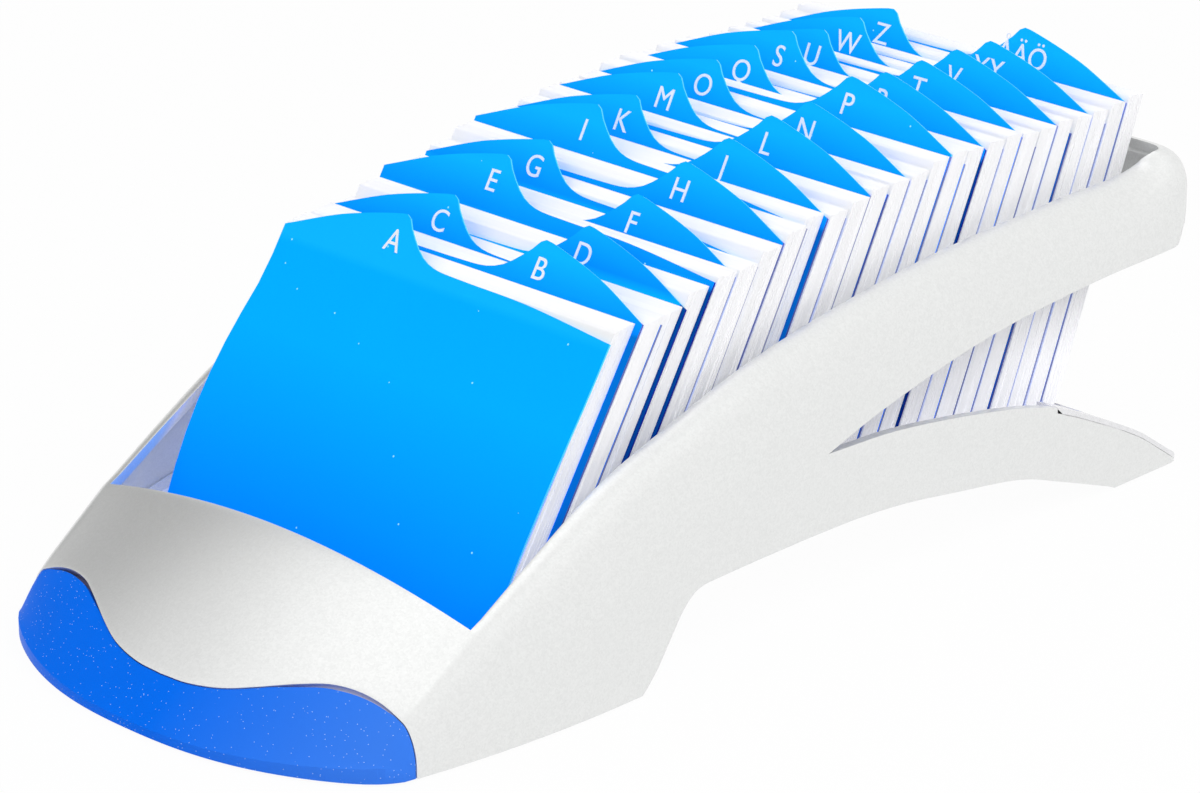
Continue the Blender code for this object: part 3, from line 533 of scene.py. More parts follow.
class Shell:
    """Outer surface of the moulding. A place on it has a station along the tray and a turn: -1 at the
    middle of the nose cover, 0 where the shoulder starts, 1 at its foot, and more down the wall."""

    SHOULDER_SHARE = 0.72
    ARC_POWER = 2.4
    CORNER_POWER = 24
    CORNER_SHARE = 0.13
    SIDE_LINE_POWER = 1.5
    SIDE_RISE_POWER = 8
    SIDE_RISE_SHARE = 0.20
    CROWN_POWER = 1.2
    REAR_CORNER_POWER = 3.2
    TURN_LENGTH = 0.030
    LEAN_START_SHARE = 0.90
    LEAN_SPAN_SHARE = 0.14
    LEAN_POWER = 1.5
    HALVINGS = 40

    def __init__(self, sizes):
        self.sizes = sizes
        half, height = sizes.half_length, sizes.height

        def side_curve(shares):
            return smooth_curve([(y * half, z * height) for y, z in shares])
        self.crest = side_curve(CREST_SHARES)
        self.arm_edge = side_curve(ARM_EDGE_SHARES)
        self.leg_edge = side_curve(LEG_EDGE_SHARES)
        self.arch = side_curve(ARCH_SHARES)
        self.arch_start = ARCH_SHARES[0][0] * half
        self.arch_end = ARCH_SHARES[-1][0] * half
        self.cover_back = CREST_SHARES[0][0] * half
        self.nose_side = sizes.nose_arc - half
        self.crotch = ARM_EDGE_SHARES[0][0] * half
        self.straight_end = half - sizes.corner_radius
        self.wave = smooth_curve([(x * sizes.half_width, y) for x, y in WAVE_SHARES])
        crest, _, drop = self.arm_section(self.crotch)
        ground = sizes.ground_gap
        self.split_share = (self.arm_edge(self.crotch) - ground) / (crest - drop - ground)

    def half_width_at(self, y):
        into = (self.nose_side + self.sizes.flare_length - y) / self.sizes.flare_length
        return self.sizes.half_width - self.sizes.flare * min(max(into, 0.0), 1.0) ** 2

    def arm_section(self, y):
        """Crest height of the arms, and how far their shoulder reaches inwards and drops."""
        sizes = self.sizes
        crest = self.crest(y)
        into_rear = max(y - self.straight_end + sizes.rear_shoulder_length, 0.0)
        drop = min(sizes.shoulder_drop, (crest - sizes.ground_gap) * self.SHOULDER_SHARE)
        drop += ((sizes.rear_shoulder_drop - sizes.shoulder_drop)
                 * (into_rear / sizes.rear_shoulder_length) ** 2)
        return crest, self.half_width_at(y) - sizes.inner_half_width, drop

    def nose_section(self, along_cover):
        """Side place, side height, middle place, middle height and shoulder of one cover line."""
        sizes = self.sizes
        back_height = self.crest(self.cover_back)
        along = along_cover ** self.SIDE_LINE_POWER
        side_y = self.nose_side + (self.cover_back - self.nose_side) * along
        middle_y = -sizes.half_length + ((self.cover_back - sizes.cover_bow + sizes.half_length)
                                         * along_cover)
        rise = (self.SIDE_RISE_SHARE * eased(along, self.SIDE_RISE_POWER)
                + (1.0 - self.SIDE_RISE_SHARE) * along)
        side_z = sizes.nose_side_height + (back_height - sizes.nose_side_height) * rise
        middle_z = sizes.lip_height + ((back_height + sizes.cover_crown - sizes.lip_height)
                                       * eased(along_cover, self.CROWN_POWER))
        back_reach = self.half_width_at(self.cover_back) - sizes.inner_half_width
        reach = sizes.nose_shoulder_reach + (back_reach - sizes.nose_shoulder_reach) * along_cover
        drop = (side_z - sizes.ground_gap) * self.SHOULDER_SHARE
        return side_y, side_z, middle_y, middle_z, reach, drop

    def shoulder(self, turn, wall_top, reach, drop):
        """How far in and how high the shoulder lies at this turn, or the wall below it."""
        if turn > 1.0:
            return 0.0, wall_top - (turn - 1.0) * self.TURN_LENGTH
        bend = math.pi / 2 * (1.0 - turn)
        return reach * (1.0 - math.cos(bend)), wall_top + drop * math.sin(bend)

    def nose_place(self, along_cover, turn):
        side_y, side_z, middle_y, middle_z, reach, drop = self.nose_section(along_cover)
        half = self.half_width_at(side_y)
        if turn <= 0.0:
            across = 1.0 + turn
            x = across * (half - reach)
            z = middle_z + (side_z - middle_z) * across ** 2
        else:
            shift, z = self.shoulder(turn, side_z - drop, reach, drop)
            x = half - shift
        out = x / half
        corner = self.CORNER_SHARE * (1.0 - along_cover)
        fall = (1.0 - corner) * out ** self.ARC_POWER + corner * out ** self.CORNER_POWER
        return Vector((x, middle_y + (side_y - middle_y) * fall, z))

    def wave_share(self, turn, inset=0.0):
        """How far along the cover its wave-shaped front edge lies at this turn."""
        cover = self.cover_back + self.sizes.half_length

        def behind(along_cover):
            place = self.nose_place(along_cover, turn)
            edge = -self.sizes.half_length + cover * self.wave(abs(place.x)) - inset
            return place.y - edge
        low, high = 0.0, 1.0
        for _ in range(self.HALVINGS):
            middle = (low + high) / 2.0
            low, high = (low, middle) if behind(middle) > 0.0 else (middle, high)
        return (low + high) / 2.0

    def nose_split(self, along_cover):
        """Turn of the line that parts the upper strip of the wall from the lower one."""
        _, side_z, _, _, _, drop = self.nose_section(along_cover)
        wall_top = side_z - drop
        return 1.0 + (wall_top - self.sizes.ground_gap) * (1.0 - self.split_share) / self.TURN_LENGTH

    def rib(self, y):
        """One rib of the straight part of the right arm."""
        return (Vector((self.half_width_at(y), y)), Vector((-1.0, 0.0)), *self.arm_section(y), 0.0)

    def corner_rib(self, turn_share):
        """One rib of the rear corner, from the side at 0 to the bar at 1."""
        sizes = self.sizes
        bend = math.pi / 2 * turn_share
        power = 2.0 / self.REAR_CORNER_POWER
        out = Vector((math.cos(bend) ** power, math.sin(bend) ** power))
        centre = Vector((sizes.half_width - sizes.corner_radius, self.straight_end))
        place = centre + out * sizes.corner_radius
        out.normalize()
        arm_reach = sizes.half_width - sizes.inner_half_width
        reach = arm_reach + (sizes.bar_radius - arm_reach) * turn_share
        drop = sizes.rear_shoulder_drop + (sizes.bar_radius - sizes.rear_shoulder_drop) * turn_share
        return place, -out, self.crest(place.y), reach, drop, sizes.bar_lean * out.y ** 2

    def bar_rib(self, x):
        sizes = self.sizes
        return (Vector((x, sizes.half_length)), Vector((0.0, -1.0)), self.crest(sizes.half_length),
                sizes.bar_radius, sizes.bar_radius, sizes.bar_lean)

    def rib_place(self, rib, turn):
        foot, inwards, crest, reach, drop, lean = rib
        wall_top = crest - drop
        shift, z = self.shoulder(turn, wall_top, reach, drop)
        if turn > 1.0:
            up = (z - self.sizes.ground_gap) / (wall_top - self.sizes.ground_gap)
            into_lean = min(max((self.LEAN_START_SHARE - up) / self.LEAN_SPAN_SHARE, 0.0), 1.0)
            shift = lean * into_lean ** self.LEAN_POWER
        place = foot + inwards * shift
        return Vector((place.x, place.y, z))

    def rib_turn(self, rib, z):
        """Turn at which a rib reaches this height."""
        _, _, crest, _, drop, _ = rib
        wall_top = crest - drop
        if z >= wall_top:
            return 1.0 - math.asin(min((z - wall_top) / drop, 1.0)) / (math.pi / 2)
        return 1.0 + (wall_top - z) / self.TURN_LENGTH

    def split_height(self, y):
        """Height of the line that parts the strips, and from the crotch on the arm's lower edge."""
        if y >= self.crotch:
            return self.arm_edge(y)
        crest, _, drop = self.arm_section(y)
        ground = self.sizes.ground_gap
        return ground + (crest - drop - ground) * self.split_share

    def leg_height(self, y):
        """Upper edge of the lower strip, lowered where the tail plate lies on it."""
        if y <= self.crotch:
            return self.split_height(y)
        lowered = self.sizes.plate if y > self.sizes.plate_start else 0.0
        return max(self.leg_edge(y) - lowered, self.sizes.ground_gap * 1.2)

    def foot_height(self, y):
        if self.arch_start < y < self.arch_end:
            return max(self.arch(y), self.sizes.ground_gap)
        return self.sizes.ground_gap


def spread(stops, step):
    """Places from the first stop to the last, each stop kept, no more than a step apart."""
    places = [stops[0]]
    for start, end in zip(stops, stops[1:]):
        count = max(1, math.ceil((end - start) / step))
        places += [start + (end - start) * (n + 1) / count for n in range(count)]
    return places


def laid_grid(bm, columns, rows, place_at):
    """Add a grid of faces and lay each of its points by its column and row."""
    laid = {}
    for v in bmesh.ops.create_grid(bm, x_segments=columns, y_segments=rows, size=0.5)["verts"]:
        column, row = round((v.co.x + 0.5) * columns), round((v.co.y + 0.5) * rows)
        v.co = place_at(column, row)
        laid[column, row] = v
    return laid


def close_halves(bm):
    """Mirror a right half over the middle, weld the seams and turn every face outwards."""
    bmesh.ops.remove_doubles(bm, verts=bm.verts, dist=0.000002)
    bmesh.ops.mirror(bm, geom=bm.verts[:] + bm.edges[:] + bm.faces[:], axis="X", merge_dist=0.000005)
    bmesh.ops.remove_doubles(bm, verts=bm.verts, dist=0.000002)
    bmesh.ops.dissolve_degenerate(bm, edges=bm.edges, dist=0.000001)
    bmesh.ops.recalc_face_normals(bm, faces=bm.faces)
    highest = max(bm.faces, key=lambda face: face.calc_center_median().z)
    if highest.normal.z < 0.0:
        bmesh.ops.reverse_faces(bm, faces=bm.faces)


def add_piece(name, bm, finishes):
    """Turn a bmesh into an object that shades smoothly, except over its sharp edges."""
    mesh = bpy.data.meshes.new(name)
    bm.to_mesh(mesh)
    bm.free()
    piece = bpy.data.objects.new(name, mesh)
    bpy.context.scene.collection.objects.link(piece)
    for finish in finishes:
        mesh.materials.append(finish)
    mesh.shade_smooth()
    mesh.set_sharp_from_angle(angle=SMOOTH_ANGLE)
    return piece


def add_wall(piece, thickness, rim_material=0):
    step = piece.modifiers.new("wall", "SOLIDIFY")
    step.thickness = thickness
    step.offset = -1.0
    step.use_even_offset = True
    step.use_quality_normals = True
    step.material_offset_rim = rim_material


def add_bevel(piece, width, segments=2, limit=math.radians(50.0)):
    step = piece.modifiers.new("edge", "BEVEL")
    step.width = width
    step.segments = segments
    step.limit_method = "ANGLE"
    step.angle_limit = limit


def settle(piece):
    """Apply a piece's modifiers and mark the edges that stay sharp."""
    bpy.context.view_layer.update()
    shaped = piece.evaluated_get(bpy.context.evaluated_depsgraph_get())
    mesh = bpy.data.meshes.new_from_object(shaped)
    rough = piece.data
    piece.modifiers.clear()
    piece.data = mesh
    bpy.data.meshes.remove(rough)
    mesh.name = piece.name
    mesh.shade_smooth()
    mesh.set_sharp_from_angle(angle=SMOOTH_ANGLE)


def build_frame(context):
    """The silver moulding: nose cover, walls, arms, legs and rear bar as one smooth shell."""
    sizes = context.scene.tray_sizes
    shell = Shell(sizes)
    bm = bmesh.new()
    cover_columns, cover_lines, strip_rows, low_rows = 44, 26, 18, 7

    def along_at(column, turn):
        start = shell.wave_share(turn)
        return start + (1.0 - start) * column / cover_lines

    def cover_place(column, row):
        turn = row / cover_columns - 1.0
        return shell.nose_place(along_at(column, turn), turn)
    laid_grid(bm, cover_lines, cover_columns, cover_place)
    stations = spread([shell.cover_back, shell.arch_start, shell.arch_start + ARCH_RISE, shell.crotch,
                       sizes.plate_start, shell.arch_end, shell.straight_end], ARM_STEP)[1:]
    ribs = [shell.rib(y) for y in stations]
    edges = [shell.split_height(y) for y in stations]
    bar_end = sizes.half_width - sizes.corner_radius
    ribs += [shell.corner_rib(n / CORNER_RIBS) for n in range(1, CORNER_RIBS + 1)]
    ribs += [shell.bar_rib(bar_end * (1.0 - n / BAR_RIBS)) for n in range(1, BAR_RIBS + 1)]
    edges += [shell.arm_edge(sizes.half_length)] * (CORNER_RIBS + BAR_RIBS)

    def upper_place(column, row):
        if column <= cover_lines:
            guess = along_at(column, shell.nose_split(1.0) * row / strip_rows)
            turn = shell.nose_split(guess) * row / strip_rows
            return shell.nose_place(along_at(column, turn), turn)
        rib = ribs[column - cover_lines - 1]
        end = shell.rib_turn(rib, edges[column - cover_lines - 1])
        return shell.rib_place(rib, end * row / strip_rows)
    laid_grid(bm, cover_lines + len(ribs), strip_rows, upper_place)
    low_stations = stations + spread([shell.straight_end, sizes.leg_end], LEG_STEP)[1:]

    def lower_place(column, row):
        if column <= cover_lines:
            x, y, top = upper_place(column, strip_rows)
            bottom = sizes.ground_gap
        else:
            y = low_stations[column - cover_lines - 1]
            into = max(y - sizes.plate_end + sizes.tail_corner, 0.0)
            rounding = sizes.tail_corner - math.sqrt(sizes.tail_corner ** 2 - into ** 2)
            x = shell.half_width_at(y) - rounding
            top, bottom = shell.leg_height(y), shell.foot_height(y)
        return Vector((x, y, top + (bottom - top) * row / low_rows))
    laid_grid(bm, cover_lines + len(low_stations), low_rows, lower_place)
    close_halves(bm)
    body = add_piece("frame_shell", bm, [finish_named(context, "silver_paint")])
    add_wall(body, sizes.wall)
    add_bevel(body, sizes.edge_round, 3)
    settle(body)
    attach(body, STAND)
    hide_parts("frame")


def build_trim(context):
    """The blue nose trim, let into the cover."""
    sizes = context.scene.tray_sizes
    shell = Shell(sizes)
    columns, lines = 60, 16

    def edge_share(turn):
        out = abs(shell.nose_place(shell.wave_share(turn), turn).x) / sizes.half_width
        flank = max(1.0 - abs(out - FLANK_MIDDLE) / FLANK_SPAN, 0.0)
        return shell.wave_share(turn, sizes.trim_gap + sizes.trim_flank_gap * flank ** 0.5)

    def place_at(column, row):
        turn = 2.0 * column / columns - 1.0
        return shell.nose_place(edge_share(turn) * row / lines, turn)
    bm = bmesh.new()
    laid = laid_grid(bm, columns, lines, place_at)
    bmesh.ops.recalc_face_normals(bm, faces=bm.faces)
    if bm.faces[:][0].normal.z < 0.0:
        bmesh.ops.reverse_faces(bm, faces=bm.faces)
    bm.normal_update()
    for v in bm.verts:
        shift = v.normal * sizes.trim_sink
        v.co -= Vector((shift.x if v.co.x > TOUCH else 0.0, shift.y, shift.z))
    rim = [laid[column, 0] for column in range(columns + 1)]
    rim += [laid[columns, row] for row in range(1, lines + 1)]
    skirt = [bm.edges.get(pair) for pair in zip(rim, rim[1:])]
    for v in bmesh.ops.extrude_edge_only(bm, edges=skirt)["geom"]:
        if isinstance(v, bmesh.types.BMVert):
            v.co.z = sizes.ground_gap
    close_halves(bm)
    trim = add_piece("nose_trim", bm, [finish_named(context, "blue_sparkle")])
    add_wall(trim, sizes.wall)
    add_bevel(trim, sizes.trim_round, 3)
    settle(trim)
    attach(trim, STAND)
    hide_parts("front_trim")


def build_seat(context):
    """The shaded ground that the trim is let into, which shows in the joint round it."""
    sizes = context.scene.tray_sizes
    shell = Shell(sizes)
    columns, lines = 48, 14

    def place_at(column, row):
        turn = 1.9 * column / columns - 1.0
        end = shell.wave_share(turn, -SEAT_REACH)
        return shell.nose_place(SEAT_START + (end - SEAT_START) * row / lines, turn)
    bm = bmesh.new()
    laid_grid(bm, columns, lines, place_at)
    close_halves(bm)
    bm.normal_update()
    for v in bm.verts:
        v.co -= v.normal * (sizes.wall + TOUCH)
        v.co.z = max(v.co.z, sizes.ground_gap + SEAT_DEPTH)
    seat = add_piece("trim_seat", bm, [finish_named(context, "trim_seat_paint")])
    add_wall(seat, SEAT_DEPTH)
    settle(seat)
    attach(seat, STAND)


def build_tray(context):
    """The inner tray that the cards stand in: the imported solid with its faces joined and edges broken."""
    bm = bmesh.new()
    bm.from_mesh(frame["nodes"]["inner_tray"].data)
    bmesh.ops.remove_doubles(bm, verts=bm.verts, dist=0.00001)
    bmesh.ops.dissolve_degenerate(bm, edges=bm.edges, dist=0.00001)
    bmesh.ops.dissolve_limit(bm, angle_limit=math.radians(1.0), verts=bm.verts, edges=bm.edges,
                             delimit={"NORMAL"})
    tray = add_piece("tray_moulding", bm, [finish_named(context, "tray_silver")])
    add_bevel(tray, TRAY_ROUND, limit=math.radians(55.0))
    settle(tray)
    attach(tray, STAND)
    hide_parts("inner_tray")


def build_pad(context, node):
    """The moulding's ground round one foot: a block from the wall inwards, with a socket."""
    sizes = context.scene.tray_sizes
    low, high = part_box(node)
    middle = (low + high) / 2.0
    radius = (high.x - low.x) / 2.0 + TOUCH
    bm = bmesh.new()
    ring = bmesh.ops.create_circle(bm, segments=48, radius=radius)["verts"]
    bmesh.ops.translate(bm, verts=ring, vec=(middle.x, middle.y, sizes.pad_low))
    hole = bm.edges[:]

    def grown(edges, place_at):
        made = bmesh.ops.extrude_edge_only(bm, edges=edges)["geom"]
        for v in made:
            if isinstance(v, bmesh.types.BMVert):
                v.co = place_at(v.co - Vector((middle.x, middle.y, 0.0)))
        return [edge for edge in made if isinstance(edge, bmesh.types.BMEdge)
                and len(edge.link_faces) == 1]

    def outline(place):
        reach = max(abs(place.x) / (sizes.pad_width / 2.0), abs(place.y) / (sizes.pad_length / 2.0))
        return Vector((middle.x + place.x / reach, middle.y + place.y / reach, sizes.pad_low))
    rim = grown(hole, outline)
    top = grown(rim, lambda place: place + Vector((middle.x, middle.y, sizes.pad_high - sizes.pad_low)))
    roof = grown(hole, lambda place: Vector((middle.x + place.x, middle.y + place.y, high.z + TOUCH)))
    bmesh.ops.holes_fill(bm, edges=top + roof)
    bmesh.ops.recalc_face_normals(bm, faces=bm.faces)
    pad = add_piece(node + "_pad", bm, [finish_named(context, "silver_paint")])
    add_bevel(pad, sizes.edge_round / 2.0)
    settle(pad)
    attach(pad, STAND)


def build_feet(context):
    """Rubber feet with a rounded rim, each in its socket."""
    for node in sorted(name for name in frame["nodes"] if name.startswith("foot_")):
        low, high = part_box(node)
        radius = (high.x - low.x) / 2.0
        middle = (low + high) / 2.0
        bm = bmesh.new()
        bmesh.ops.create_cone(bm, cap_ends=True, segments=40, radius1=radius, radius2=radius,
                              depth=high.z - low.z, matrix=Matrix.Translation(middle))
        rims = [edge for edge in bm.edges if edge.calc_face_angle(0.0) > math.radians(60.0)]
        bmesh.ops.bevel(bm, geom=rims, offset=FOOT_ROUND, offset_type="OFFSET", segments=3, profile=0.5,
                        affect="EDGES", material=-1, clamp_overlap=True)
        base = [face for face in bm.faces if face.normal.z < -0.99]
        bmesh.ops.inset_region(bm, faces=base, thickness=FOOT_RIM, depth=0.0)
        bmesh.ops.inset_region(bm, faces=base, thickness=FOOT_DISH, depth=-FOOT_DISH)
        piece = add_piece(node.replace("foot_", "rubber_foot_"), bm,
                          [finish_named(context, "grey_rubber")])
        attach(piece, STAND)
        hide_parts(node)
        build_pad(context, node)


def fan_places():
    """Hinge place of every divider and pack, by its body's name."""
    return {joint["child"]: Vector(joint["pos_m"]) for joint in frame["joints"]}


def lean_at(fan, pivot):
    """How far a piece on this hinge line leans back."""
    along = (pivot.y - fan.front) / (fan.rear - fan.front)
    return fan.front_lean + (fan.rear_lean - fan.front_lean) * along


def leaned(fan, pivot):
    """Matrix that stands a piece on its hinge line and leans it back."""
    return Matrix.Translation(pivot) @ Matrix.Rotation(-lean_at(fan, pivot), 4, "X")


def floor_slope(places, name):
    """Slope of the floor under a pack, from the feet of its neighbours."""
    names = in_order(name.split("_")[0])
    here = names.index(name)
    before, after = places[names[max(here - 1, 0)]], places[names[min(here + 1, len(names) - 1)]]
    return math.atan2(after.z - before.z, after.y - before.y)


def in_order(kind):
    """Bodies of one kind, front to rear."""
    places = fan_places()
    return sorted((name for name in places if name.startswith(kind)), key=lambda name: places[name].y)


def build_dividers(context):
    """Blue sheets with a tab, left and right in turn, and the letter on each."""
    fan = context.scene.fan_sizes
    places = fan_places()
    rise_at = smooth_curve(TAB_EDGE_SHARES)
    finishes = [finish_named(context, "blue_polypropylene"), finish_named(context, "blue_sheet_edge")]
    columns = spread(TAB_COLUMNS, COLUMN_STEP)
    for n, name in enumerate(in_order("divider_")):
        flip = -1.0 if n % 2 else 1.0
        drop = fan.pack / 2.0
        lift = fan.tab_rise * SETTLE_SHARES[n]
        bow, short = (0.0, 0.0) if n else (fan.bow, fan.first_short)
        bm = bmesh.new()
        height = bm.verts.layers.float.new("sheet_height")
        shade = bm.verts.layers.float.new("sheet_shade")

        def place_at(column, row):
            across = columns[column]
            top = fan.card_height - drop + lift + fan.tab_rise * rise_at(across)
            up = row / SHEET_ROWS
            swell = math.sin(math.pi * min(up / BOW_END, 1.0))
            x = flip * fan.card_width * (across - 0.5) - short * (across + (1.0 - across) * swell)
            return Vector((x, -bow * swell * (1.0 - BOW_FADE * across), (top + drop) * up - drop))
        for v in laid_grid(bm, len(columns) - 1, SHEET_ROWS, place_at).values():
            v[height] = v.co.z + drop
            v[shade] = SHADES[n]
        bmesh.ops.recalc_face_normals(bm, faces=bm.faces)
        if bm.faces[:][0].normal.y > 0.0:
            bmesh.ops.reverse_faces(bm, faces=bm.faces)
        for v in bm.verts:
            v.co.y -= fan.sheet / 2.0
        bm.transform(leaned(fan, places[name]))
        piece = add_piece(name + "_sheet", bm, finishes)
        add_wall(piece, fan.sheet, rim_material=1)
        settle(piece)
        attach(piece, name)
        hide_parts(name)
        build_letter(context, name, flip, lift, leaned(fan, places[name]))


def build_letter(context, divider, flip, lift, place):
    """The raised letter near the inner end of a tab."""
    fan = context.scene.fan_sizes
    label = divider.split("_")[1]
    text = bpy.data.curves.new(divider + "_text", "FONT")
    text.body = "ÅÄÖ" if label == "accents" else label
    text.size = fan.letter / CAPITAL_SHARE
    text.align_x = "CENTER"
    text.align_y = "BOTTOM_BASELINE"
    text.extrude = LETTER_DEPTH
    text.resolution_u = 6
    holder = bpy.data.objects.new(divider + "_text", text)
    context.scene.collection.objects.link(holder)
    context.view_layer.update()
    mesh = bpy.data.meshes.new_from_object(holder.evaluated_get(context.evaluated_depsgraph_get()))
    bpy.data.objects.remove(holder)
    bm = bmesh.new()
    bm.from_mesh(mesh)
    bpy.data.meshes.remove(mesh)
    bmesh.ops.remove_doubles(bm, verts=bm.verts, dist=0.000001)
    narrow = Matrix.Diagonal((LETTER_WIDTH, 1.0, 1.0, 1.0))
    across = flip * fan.card_width * (fan.letter_place - 0.5)
    up = fan.card_height - fan.pack / 2.0 + lift + fan.letter_lift
    stand = (Matrix.Translation((across, -fan.sheet / 2.0 - 1.5 * LETTER_DEPTH, up))
             @ Matrix.Rotation(math.pi / 2, 4, "X"))
    bm.transform(place @ stand @ narrow)
    piece = add_piece("letter_" + label, bm, [finish_named(context, "letter_white")])
    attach(piece, divider)


def build_cards(context):
    """White cards behind each divider, a little uneven, as they sit in use."""
    fan = context.scene.fan_sizes
    places = fan_places()
    chance = random.Random(fan.seed)
    for place, name in enumerate(in_order("cards_")):
        bm = bmesh.new()
        shade = bm.faces.layers.float.new("card_shade")
        radius = fan.pack / 2.0
        pitch = fan.pack / fan.cards
        near = SETTLE_SHARES[place:place + 2]
        rise = fan.top_rise + (fan.rear_rise - fan.top_rise) * place / len(SETTLE_SHARES)
        crest = fan.card_height + rise + fan.tab_rise * sum(near) / len(near)
        climb = math.tan(lean_at(fan, places[name]) + floor_slope(places, name))
        width = fan.card_width - SIDE_STEPS[place]
        group_left = 0
        for n in range(fan.cards):
            if group_left == 0:
                group_left = chance.choice(GROUP_SIZES)
                group_side = chance.choice(GROUP_SIDES) - SIDE_STEPS[place] / 2.0
                group_up = chance.uniform(0.0, GROUP_DROP)
                group_tone = chance.uniform(0.70, 1.0)
            group_left -= 1
            side = group_side + chance.uniform(-CARD_STEP, CARD_STEP)
            deep = -radius + pitch * (n + 0.5)
            thick = pitch * (CARD_FILL if group_left else LAST_FILL)
            reach = min(abs(deep) + thick / 2.0, radius)
            foot = -math.sqrt(max(radius ** 2 - reach ** 2, 0.0))
            top = crest - radius + climb * deep - group_up
            centre = Vector((side, deep, (foot + top) / 2.0))
            size = Matrix.Diagonal((width, thick, top - foot, 1.0))
            made = bmesh.ops.create_cube(bm, size=1.0, matrix=Matrix.Translation(centre) @ size)
            tone = group_tone * chance.uniform(0.92, 1.0)
            for face in {face for v in made["verts"] for face in v.link_faces}:
                # Top faces get the marker that gives them painted light in the card finish
                face[shade] = TOP_FACE if face.calc_center_median().z > top - TOUCH / 2.0 else tone
        for v in bm.verts:
            up = max(v.co.z, 0.0) / fan.card_height
            v.co.y *= fan.foot_fill + (fan.top_fill - fan.foot_fill) * up
        bm.transform(leaned(fan, places[name]))
        piece = add_piece(name + "_stack", bm, [finish_named(context, "white_card")])
        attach(piece, name)
        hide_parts(name)


def ray_kinds(wire):
    """Whether a ray comes from the camera, a glossy surface or a clear one, as three values."""
    outputs = wire.node("ShaderNodeLightPath", {}).socket.node.outputs
    return [Wire(wire.tree, outputs[kind]) for kind in
            ("Is Camera Ray", "Is Glossy Ray", "Is Transmission Ray")]


def white_floor(paint):
    """Matt floor that looks plain white to the camera and in reflections."""
    finish = bpy.data.materials.new("white_floor")
    finish.use_nodes = True
    wire = Wire(finish.node_tree)
    seen, shiny, clear = ray_kinds(wire)
    lit = wire.node("ShaderNodeEmission", {"Color": (*paint, 1.0), "Strength": 1.0})
    matt = wire.node("ShaderNodeBsdfDiffuse", {"Color": (*scaled(paint, 0.9), 1.0)})
    blend = wire.node("ShaderNodeMixShader", {0: (seen + shiny + clear).clamped() * 0.96,
                                              1: matt, 2: lit})
    wire.tree.links.new(blend.socket, finish.node_tree.nodes["Material Output"].inputs["Surface"])
    return finish


def white_room():
    """Even white to the camera; to the tray, darker on the upper left and brighter overhead."""
    world = bpy.data.worlds.new("white_room")
    world.use_nodes = True
    wire = Wire(world.node_tree)
    seen, shiny, clear = ray_kinds(wire)
    around = wire.node("ShaderNodeTexCoord", {}, output=0)

    def facing(direction, start):
        share = wire.node("ShaderNodeVectorMath", {0: around, 1: direction}, output=1,
                          operation="DOT_PRODUCT")
        return ((share - start) / (1.0 - start)).clamped()
    shade = facing((-0.86, 0.10, 0.50), 0.70)
    room = 1.0 - shade.maths("POWER", shade, 3.4) * 0.86 + facing((-0.28, -0.06, 0.96), 0.86) * 0.42
    level = (shiny + clear).clamped() * 0.5 + 0.5
    strength = seen + (1.0 - seen) * level * room
    ground = world.node_tree.nodes["Background"]
    ground.inputs["Color"].default_value = (1.0, 1.0, 1.0, 1.0)
    wire.tree.links.new(strength.socket, ground.inputs["Strength"])
    return world


def build_stage(context):
    """Camera, pale floor, white surroundings and soft lamps."""
    scene = context.scene
    scene.view_settings.view_transform = "Standard"
    level = math.cos(CAMERA_TILT)
    back = Vector((math.sin(CAMERA_TURN) * level, -math.cos(CAMERA_TURN) * level, math.sin(CAMERA_TILT)))
    right = Vector((math.cos(CAMERA_TURN), math.sin(CAMERA_TURN), 0.0))
    axes = Matrix((right, back.cross(right), back)).transposed()
    data = bpy.data.cameras.new("view_camera")
    data.lens, data.sensor_width = CAMERA_LENS, 36.0
    data.clip_start, data.clip_end = 0.05, 20.0
    camera = bpy.data.objects.new("view_camera", data)
    place = Vector(CAMERA_TARGET) + back * CAMERA_DISTANCE
    camera.matrix_world = Matrix.Translation(place) @ axes.to_4x4()
    scene.collection.objects.link(camera)
    scene.camera = camera
    bm = bmesh.new()
    bmesh.ops.create_grid(bm, x_segments=2, y_segments=2, size=3.0)
    floor = add_piece("floor", bm, [white_floor(tuple(scene.tray_colours.floor))])
    scene.world = white_room()
    for name, place, size, power in LAMPS:
        data = bpy.data.lights.new(name, "AREA")
        data.size, data.energy = size, power
        lamp = bpy.data.objects.new(name, data)
        lamp.location = place
        lamp.visible_glossy = False
        lamp.rotation_euler = (Vector(place) - LAMP_TARGET).to_track_quat("Z", "Y").to_euler()
        scene.collection.objects.link(lamp)


class BuildStage(bpy.types.Operator):
    """Add the camera, the floor, the white surroundings and the lamps"""
    bl_idname = "card_tray.stage"
    bl_label = "Stage"

    def execute(self, context):
        build_stage(context)
        return {"FINISHED"}


class BuildFrame(bpy.types.Operator):
    """Build the silver frame as one smooth shell"""
    bl_idname = "card_tray.frame"
    bl_label = "Frame"

    def execute(self, context):
        build_frame(context)
        return {"FINISHED"}


class BuildTrim(bpy.types.Operator):
    """Build the blue nose trim and its seat"""
    bl_idname = "card_tray.trim"
    bl_label = "Nose Trim"

    def execute(self, context):
        build_trim(context)
        build_seat(context)
        return {"FINISHED"}


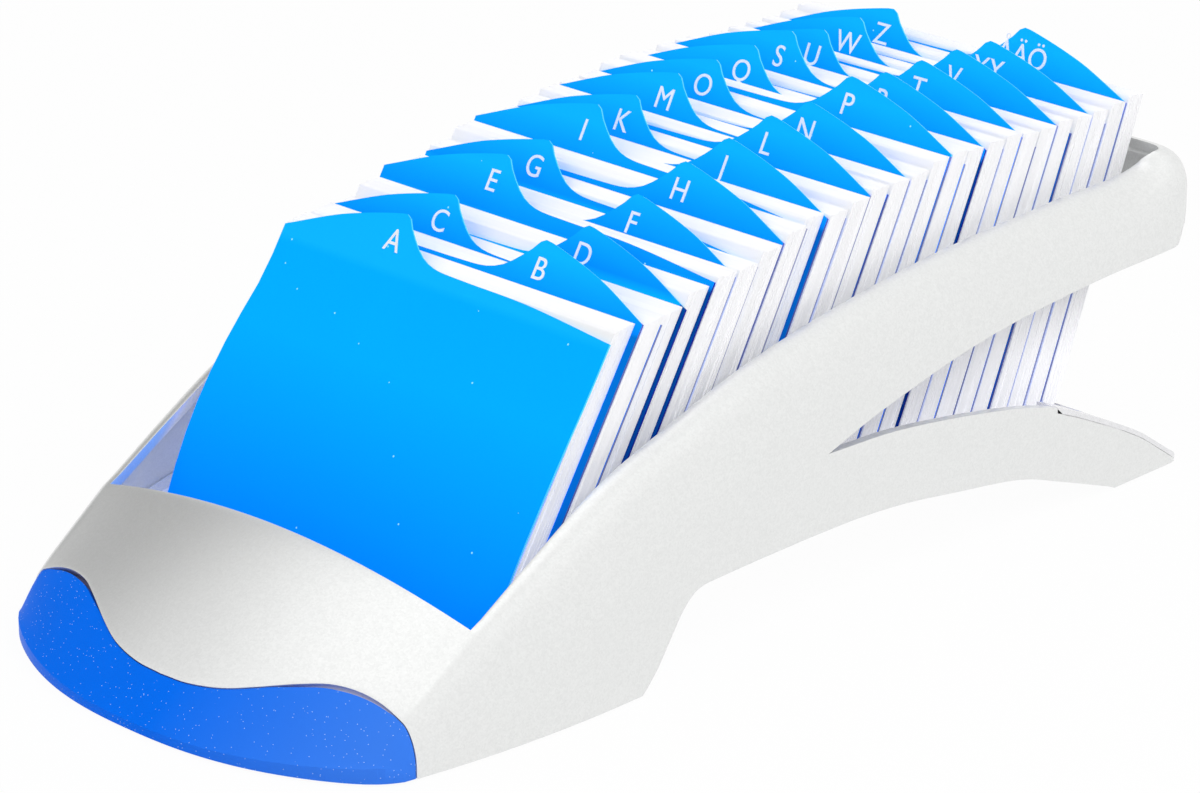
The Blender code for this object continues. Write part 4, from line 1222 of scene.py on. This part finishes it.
class BuildTray(bpy.types.Operator):
    """Build the inner tray"""
    bl_idname = "card_tray.tray"
    bl_label = "Inner Tray"

    def execute(self, context):
        build_tray(context)
        return {"FINISHED"}


class BuildFeet(bpy.types.Operator):
    """Build the rubber feet"""
    bl_idname = "card_tray.feet"
    bl_label = "Feet"

    def execute(self, context):
        build_feet(context)
        return {"FINISHED"}


class BuildDividers(bpy.types.Operator):
    """Build the lettered dividers"""
    bl_idname = "card_tray.dividers"
    bl_label = "Dividers"

    def execute(self, context):
        build_dividers(context)
        return {"FINISHED"}


class BuildCards(bpy.types.Operator):
    """Build the cards behind each divider"""
    bl_idname = "card_tray.cards"
    bl_label = "Cards"

    def execute(self, context):
        build_cards(context)
        return {"FINISHED"}


OPERATORS = (BuildStage, BuildFrame, BuildTrim, BuildTray, BuildFeet, BuildDividers, BuildCards)


class CardTrayPanel(bpy.types.Panel):
    """Sidebar panel that lists the pieces"""
    bl_idname = "VIEW3D_PT_card_tray"
    bl_label = "Card Tray"
    bl_space_type = "VIEW_3D"
    bl_region_type = "UI"
    bl_category = "Card Tray"

    def draw(self, context):
        for operator in OPERATORS:
            self.layout.operator(operator.bl_idname)


CLASSES = (TraySizes, FanSizes, TrayColours, *OPERATORS, CardTrayPanel)


def register():
    for made in CLASSES:
        bpy.utils.register_class(made)
    bpy.types.Scene.tray_sizes = PointerProperty(type=TraySizes)
    bpy.types.Scene.fan_sizes = PointerProperty(type=FanSizes)
    bpy.types.Scene.tray_colours = PointerProperty(type=TrayColours)


def unregister():
    del bpy.types.Scene.tray_colours
    del bpy.types.Scene.fan_sizes
    del bpy.types.Scene.tray_sizes
    for made in reversed(CLASSES):
        bpy.utils.unregister_class(made)


def main():
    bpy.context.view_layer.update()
    register()
    bpy.ops.card_tray.stage()
    bpy.ops.card_tray.frame()
    bpy.ops.card_tray.trim()
    bpy.ops.card_tray.tray()
    bpy.ops.card_tray.feet()
    bpy.ops.card_tray.dividers()
    bpy.ops.card_tray.cards()


if __name__ == "__main__":
    main()
